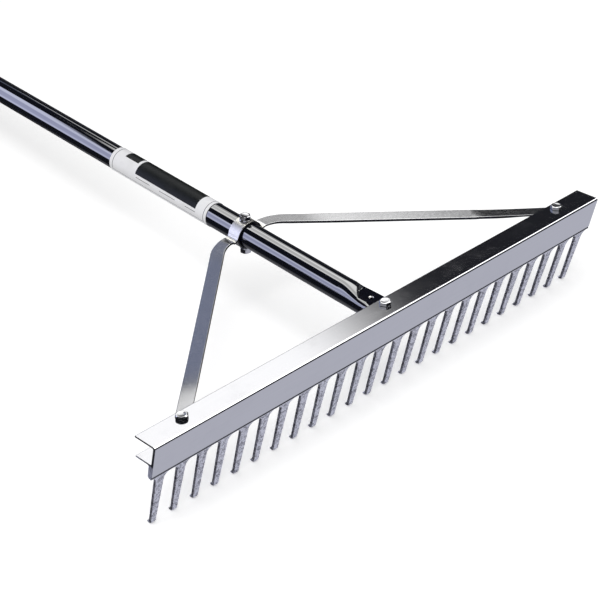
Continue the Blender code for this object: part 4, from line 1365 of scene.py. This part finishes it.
at_edge = np.abs(BAR_SECTION[1][:, 0]) > EDGE_FACE
at_edge &= np.roll(at_edge, -1)
for side, strap in straps.items():
    arm = arm_edges(clamps[side])
    run = np.linalg.norm(arm.mean(axis=1) - arm[0].mean(axis=0), axis=1)
    tilt = np.radians(np.interp(run / run[-1], *ARM_TILT[side]))
    arm[..., 2] += inward(arm, clamps[side]) * np.tan(tilt)[:, None]
    if side == "right":
        arm[..., 0] = HEAD_LENGTH - arm[..., 0]
    drop = ARM_DROP * eased((run - ARM_DROP_FROM) / ARM_DROP_EASE) * eased((run[-1] - run) / ARM_DROP_EASE)
    grid = bar_grid(np.concatenate([arm, strap]), np.append(drop, np.zeros(len(strap))))
    on_strap = np.arange(len(grid) - 1) >= len(arm)
    # Edge faces take the near black finish, which is painted shade.
    numbers = np.append(np.where(at_edge, 1, 2 * on_strap[:, None]), [1, 1])
    make_piece(f"fine_{side}_bar", f"{side}_brace", [skin(grid, numbers)], [bar_zinc, shaded_black, strap_zinc])

# %% [markdown]
# ## Bolts, nuts and washers
#
# A bolt is one skin from the middle of its head to its tip. Seen from above, its outline is a
# hexagon, whose radius at an angle is the distance across the flats, halved, over the cosine
# of the angle from the nearest flat. The chamfer is a cone, so a point's height falls with its
# distance from the axis. The top is forged into a shallow dish, which catches the light and
# deepens by the square of the radius. The thread is a radius that rises and falls once for
# each pitch, with a phase that turns with the angle. A Screw modifier would make the thread
# too, but not the head in the same skin.

# %% Turn a bolt
BOLT_RADIUS = 3.175 * MM
HALF_FLATS = 5.55 * MM
HEAD_HEIGHT = 3.7 * MM
HEAD_FLAT = HALF_FLATS - 0.45 * MM
HEAD_EDGE = 0.25 * MM
HEAD_HUB = 0.2 * MM
DISH_RADIUS = 4.3 * MM
DISH_DEPTH = 0.20 * MM
DISH_ROWS = 12
CONE_SHARES = (0, 0.3, 0.6, 1)
THREAD_PITCH = 1.27 * MM
THREAD_DEPTH = 0.5 * MM
THREAD_LENGTH = 16 * MM
THREAD_ROWS = 8
SHORTEST_SHANK = 0.5 * MM
TIP_CHAMFER = (0.8 * MM, 0.6 * MM)
CHAMFER = math.tan(math.radians(30))
FASTENER_SIDES = 72

spin = 2 * math.pi * np.arange(FASTENER_SIDES) / FASTENER_SIDES
hexagon = HALF_FLATS / np.cos((spin + math.pi / 6) % (math.pi / 3) - math.pi / 6)


def bolt_grid(length, turn, lean):
    """Give a bolt whose head stands on height 0 and whose tip is at minus its length. Its top may
    lean by some degrees: its height grows along X, as seen after the bolt's turn."""
    rows = [(radius, HEAD_HEIGHT - DISH_DEPTH * (1 - (radius / DISH_RADIUS) ** 2))
            for radius in np.linspace(HEAD_HUB, DISH_RADIUS, DISH_ROWS)]
    for share in CONE_SHARES:
        radius = HEAD_FLAT + (hexagon - HEAD_FLAT) * share
        rows.append((radius, HEAD_HEIGHT - (radius - HEAD_FLAT) * CHAMFER))
    uphill = np.cos(spin + math.radians(turn)) * math.tan(math.radians(lean))
    rows = [(radius, height + radius * uphill) for radius, height in rows]
    plain = max(length - THREAD_LENGTH, SHORTEST_SHANK)
    rows += [(hexagon, HEAD_EDGE), (hexagon - HEAD_EDGE, 0), (BOLT_RADIUS, 0), (BOLT_RADIUS, -plain)]
    narrowing, tip = TIP_CHAMFER
    turns = (length - tip - plain) / THREAD_PITCH
    for height in -np.linspace(plain, length - tip, int(turns * THREAD_ROWS) + 1)[1:]:
        phase = (height / THREAD_PITCH + spin / (2 * math.pi)) % 1
        rows.append((BOLT_RADIUS - THREAD_DEPTH * (1 - np.abs(2 * phase - 1)), height))
    rows.append((BOLT_RADIUS - narrowing, -length))
    return lathe(rows, FASTENER_SIDES)


print("hexagon: mm across flats and corners", np.round([2 * HALF_FLATS / MM, 2 * hexagon.max() / MM], 2))

# %% [markdown]
# A nut is one closed loop of rows: over its top, down its sides, under it and up its bore. A
# split washer is a section that runs almost once round a circle, with a slanting cut.

# %% Turn a nut and bend a washer
NUT_HEIGHT = 5.5 * MM
NUT_FLAT = HALF_FLATS - 0.15 * MM
NUT_CHAMFER = 0.5 * MM
BORE = BOLT_RADIUS + SEAT_GAP
WASHER_RADIUS = 6.2 * MM
WASHER_THICKNESS = 1.6 * MM
WASHER_SPLIT = 1.0 * MM
WASHER_SLANT = 0.3
WASHER_EDGE = 0.2 * MM
WASHER_STEPS = 90


def nut_grid():
    """Give a nut between height 0 and minus its height, chamfered on both faces."""
    cone = [NUT_FLAT + (hexagon - NUT_FLAT) * share for share in (0, 0.5, 1)]
    rows = [(BORE, -NUT_CHAMFER), (BORE + NUT_CHAMFER, 0)]
    rows += [(radius, -(radius - NUT_FLAT) * CHAMFER) for radius in cone]
    rows += [(radius, (radius - NUT_FLAT) * CHAMFER - NUT_HEIGHT) for radius in reversed(cone)]
    rows += [(BORE + NUT_CHAMFER, -NUT_HEIGHT), (BORE, NUT_CHAMFER - NUT_HEIGHT)]
    return lathe(rows, FASTENER_SIDES)


def washer_grid():
    """Carry a rounded rectangle round a circle that stays open at the split."""
    middle = (BORE + WASHER_RADIUS) / 2
    gap = WASHER_SPLIT / middle / 2
    seat, way = rounded_section(flat_steps=4, side_steps=3)
    radius = middle + seat[:, 0] * ((WASHER_RADIUS - BORE) / 2 - WASHER_EDGE) + way[:, 0] * WASHER_EDGE
    height = WASHER_THICKNESS / 2 * (1 + seat[:, 1]) + (way[:, 1] - seat[:, 1]) * WASHER_EDGE
    turn = np.linspace(gap, 2 * math.pi - gap, WASHER_STEPS)[:, None] + height * WASHER_SLANT / middle
    height = np.broadcast_to(height, turn.shape)
    return np.stack([radius * np.cos(turn), radius * np.sin(turn), height], axis=-1)


nut = nut_grid()
washer = washer_grid()
print("nut rows:", len(nut), "washer stations:", len(washer))

# %% [markdown]
# The flange bolts and the centre bolt stand square to the flange, and the clamp's pieces
# square to the tube. Every bolt was tightened to its own angle, and most tops lean by one to
# four degrees, so that each mirrors another part of the studio.

# %% Fit the fasteners
STICK_OUT = 2.0 * MM


def stood(points, place, turn):
    """Turn a fastener about its own axis, in degrees, and put it at its place in a frame."""
    x, y, z = np.moveaxis(points, -1, 0)
    cosine, sine = math.cos(math.radians(turn)), math.sin(math.radians(turn))
    return np.stack([x * cosine - y * sine, x * sine + y * cosine, z], axis=-1) + place


under_bar = CHANNEL_TOP - SEAT_GAP - BRACE_THICKNESS
short = SEAT_GAP - under_bar + SEAT_GAP + NUT_HEIGHT + STICK_OUT
crown = TUBE_RADIUS + SEAT_GAP + BRACE_THICKNESS
bearing = crown + SEAT_GAP + WASHER_THICKNESS
long = 2 * bearing + 2 * SEAT_GAP + NUT_HEIGHT + STICK_OUT
right_x = HEAD_LENGTH - BOLT_INSET
FASTENERS = (
    ("left_flange_bolt", bolt_grid(short, 12, 0.0), from_head, (BOLT_INSET, BOLT_DEPTH, SEAT_GAP), 12),
    ("left_flange_nut", nut, from_head, (BOLT_INSET, BOLT_DEPTH, under_bar - SEAT_GAP), 0),
    ("right_flange_bolt", bolt_grid(short, 34, 1.8), from_head, (right_x, BOLT_DEPTH, SEAT_GAP), 34),
    ("right_flange_nut", nut, from_head, (right_x, BOLT_DEPTH, under_bar - SEAT_GAP), 0),
    ("centre_bolt", bolt_grid(SEAT_GAP - UNDERSIDE + STICK_OUT, 25, 3.5), from_head,
     (HANDLE_X, BOLT_DEPTH, SEAT_GAP), 25),
    ("clamp_bolt", bolt_grid(long, 21, -1.5), from_handle, (0, CLAMP_AT, bearing + SEAT_GAP), 21),
    ("clamp_nut", nut, from_handle, (0, CLAMP_AT, -bearing - SEAT_GAP), 15),
    ("clamp_head_washer", washer, from_handle, (0, CLAMP_AT, crown + SEAT_GAP), 200),
    ("clamp_nut_washer", washer, from_handle, (0, CLAMP_AT, -bearing), 70))

for node, grid, to_world, place, turn in FASTENERS:
    placed = skin(to_world(stood(grid, place, turn)), closed=node.endswith("nut"))
    make_piece(f"fine_{node}", node, [placed], [bolt_zinc])
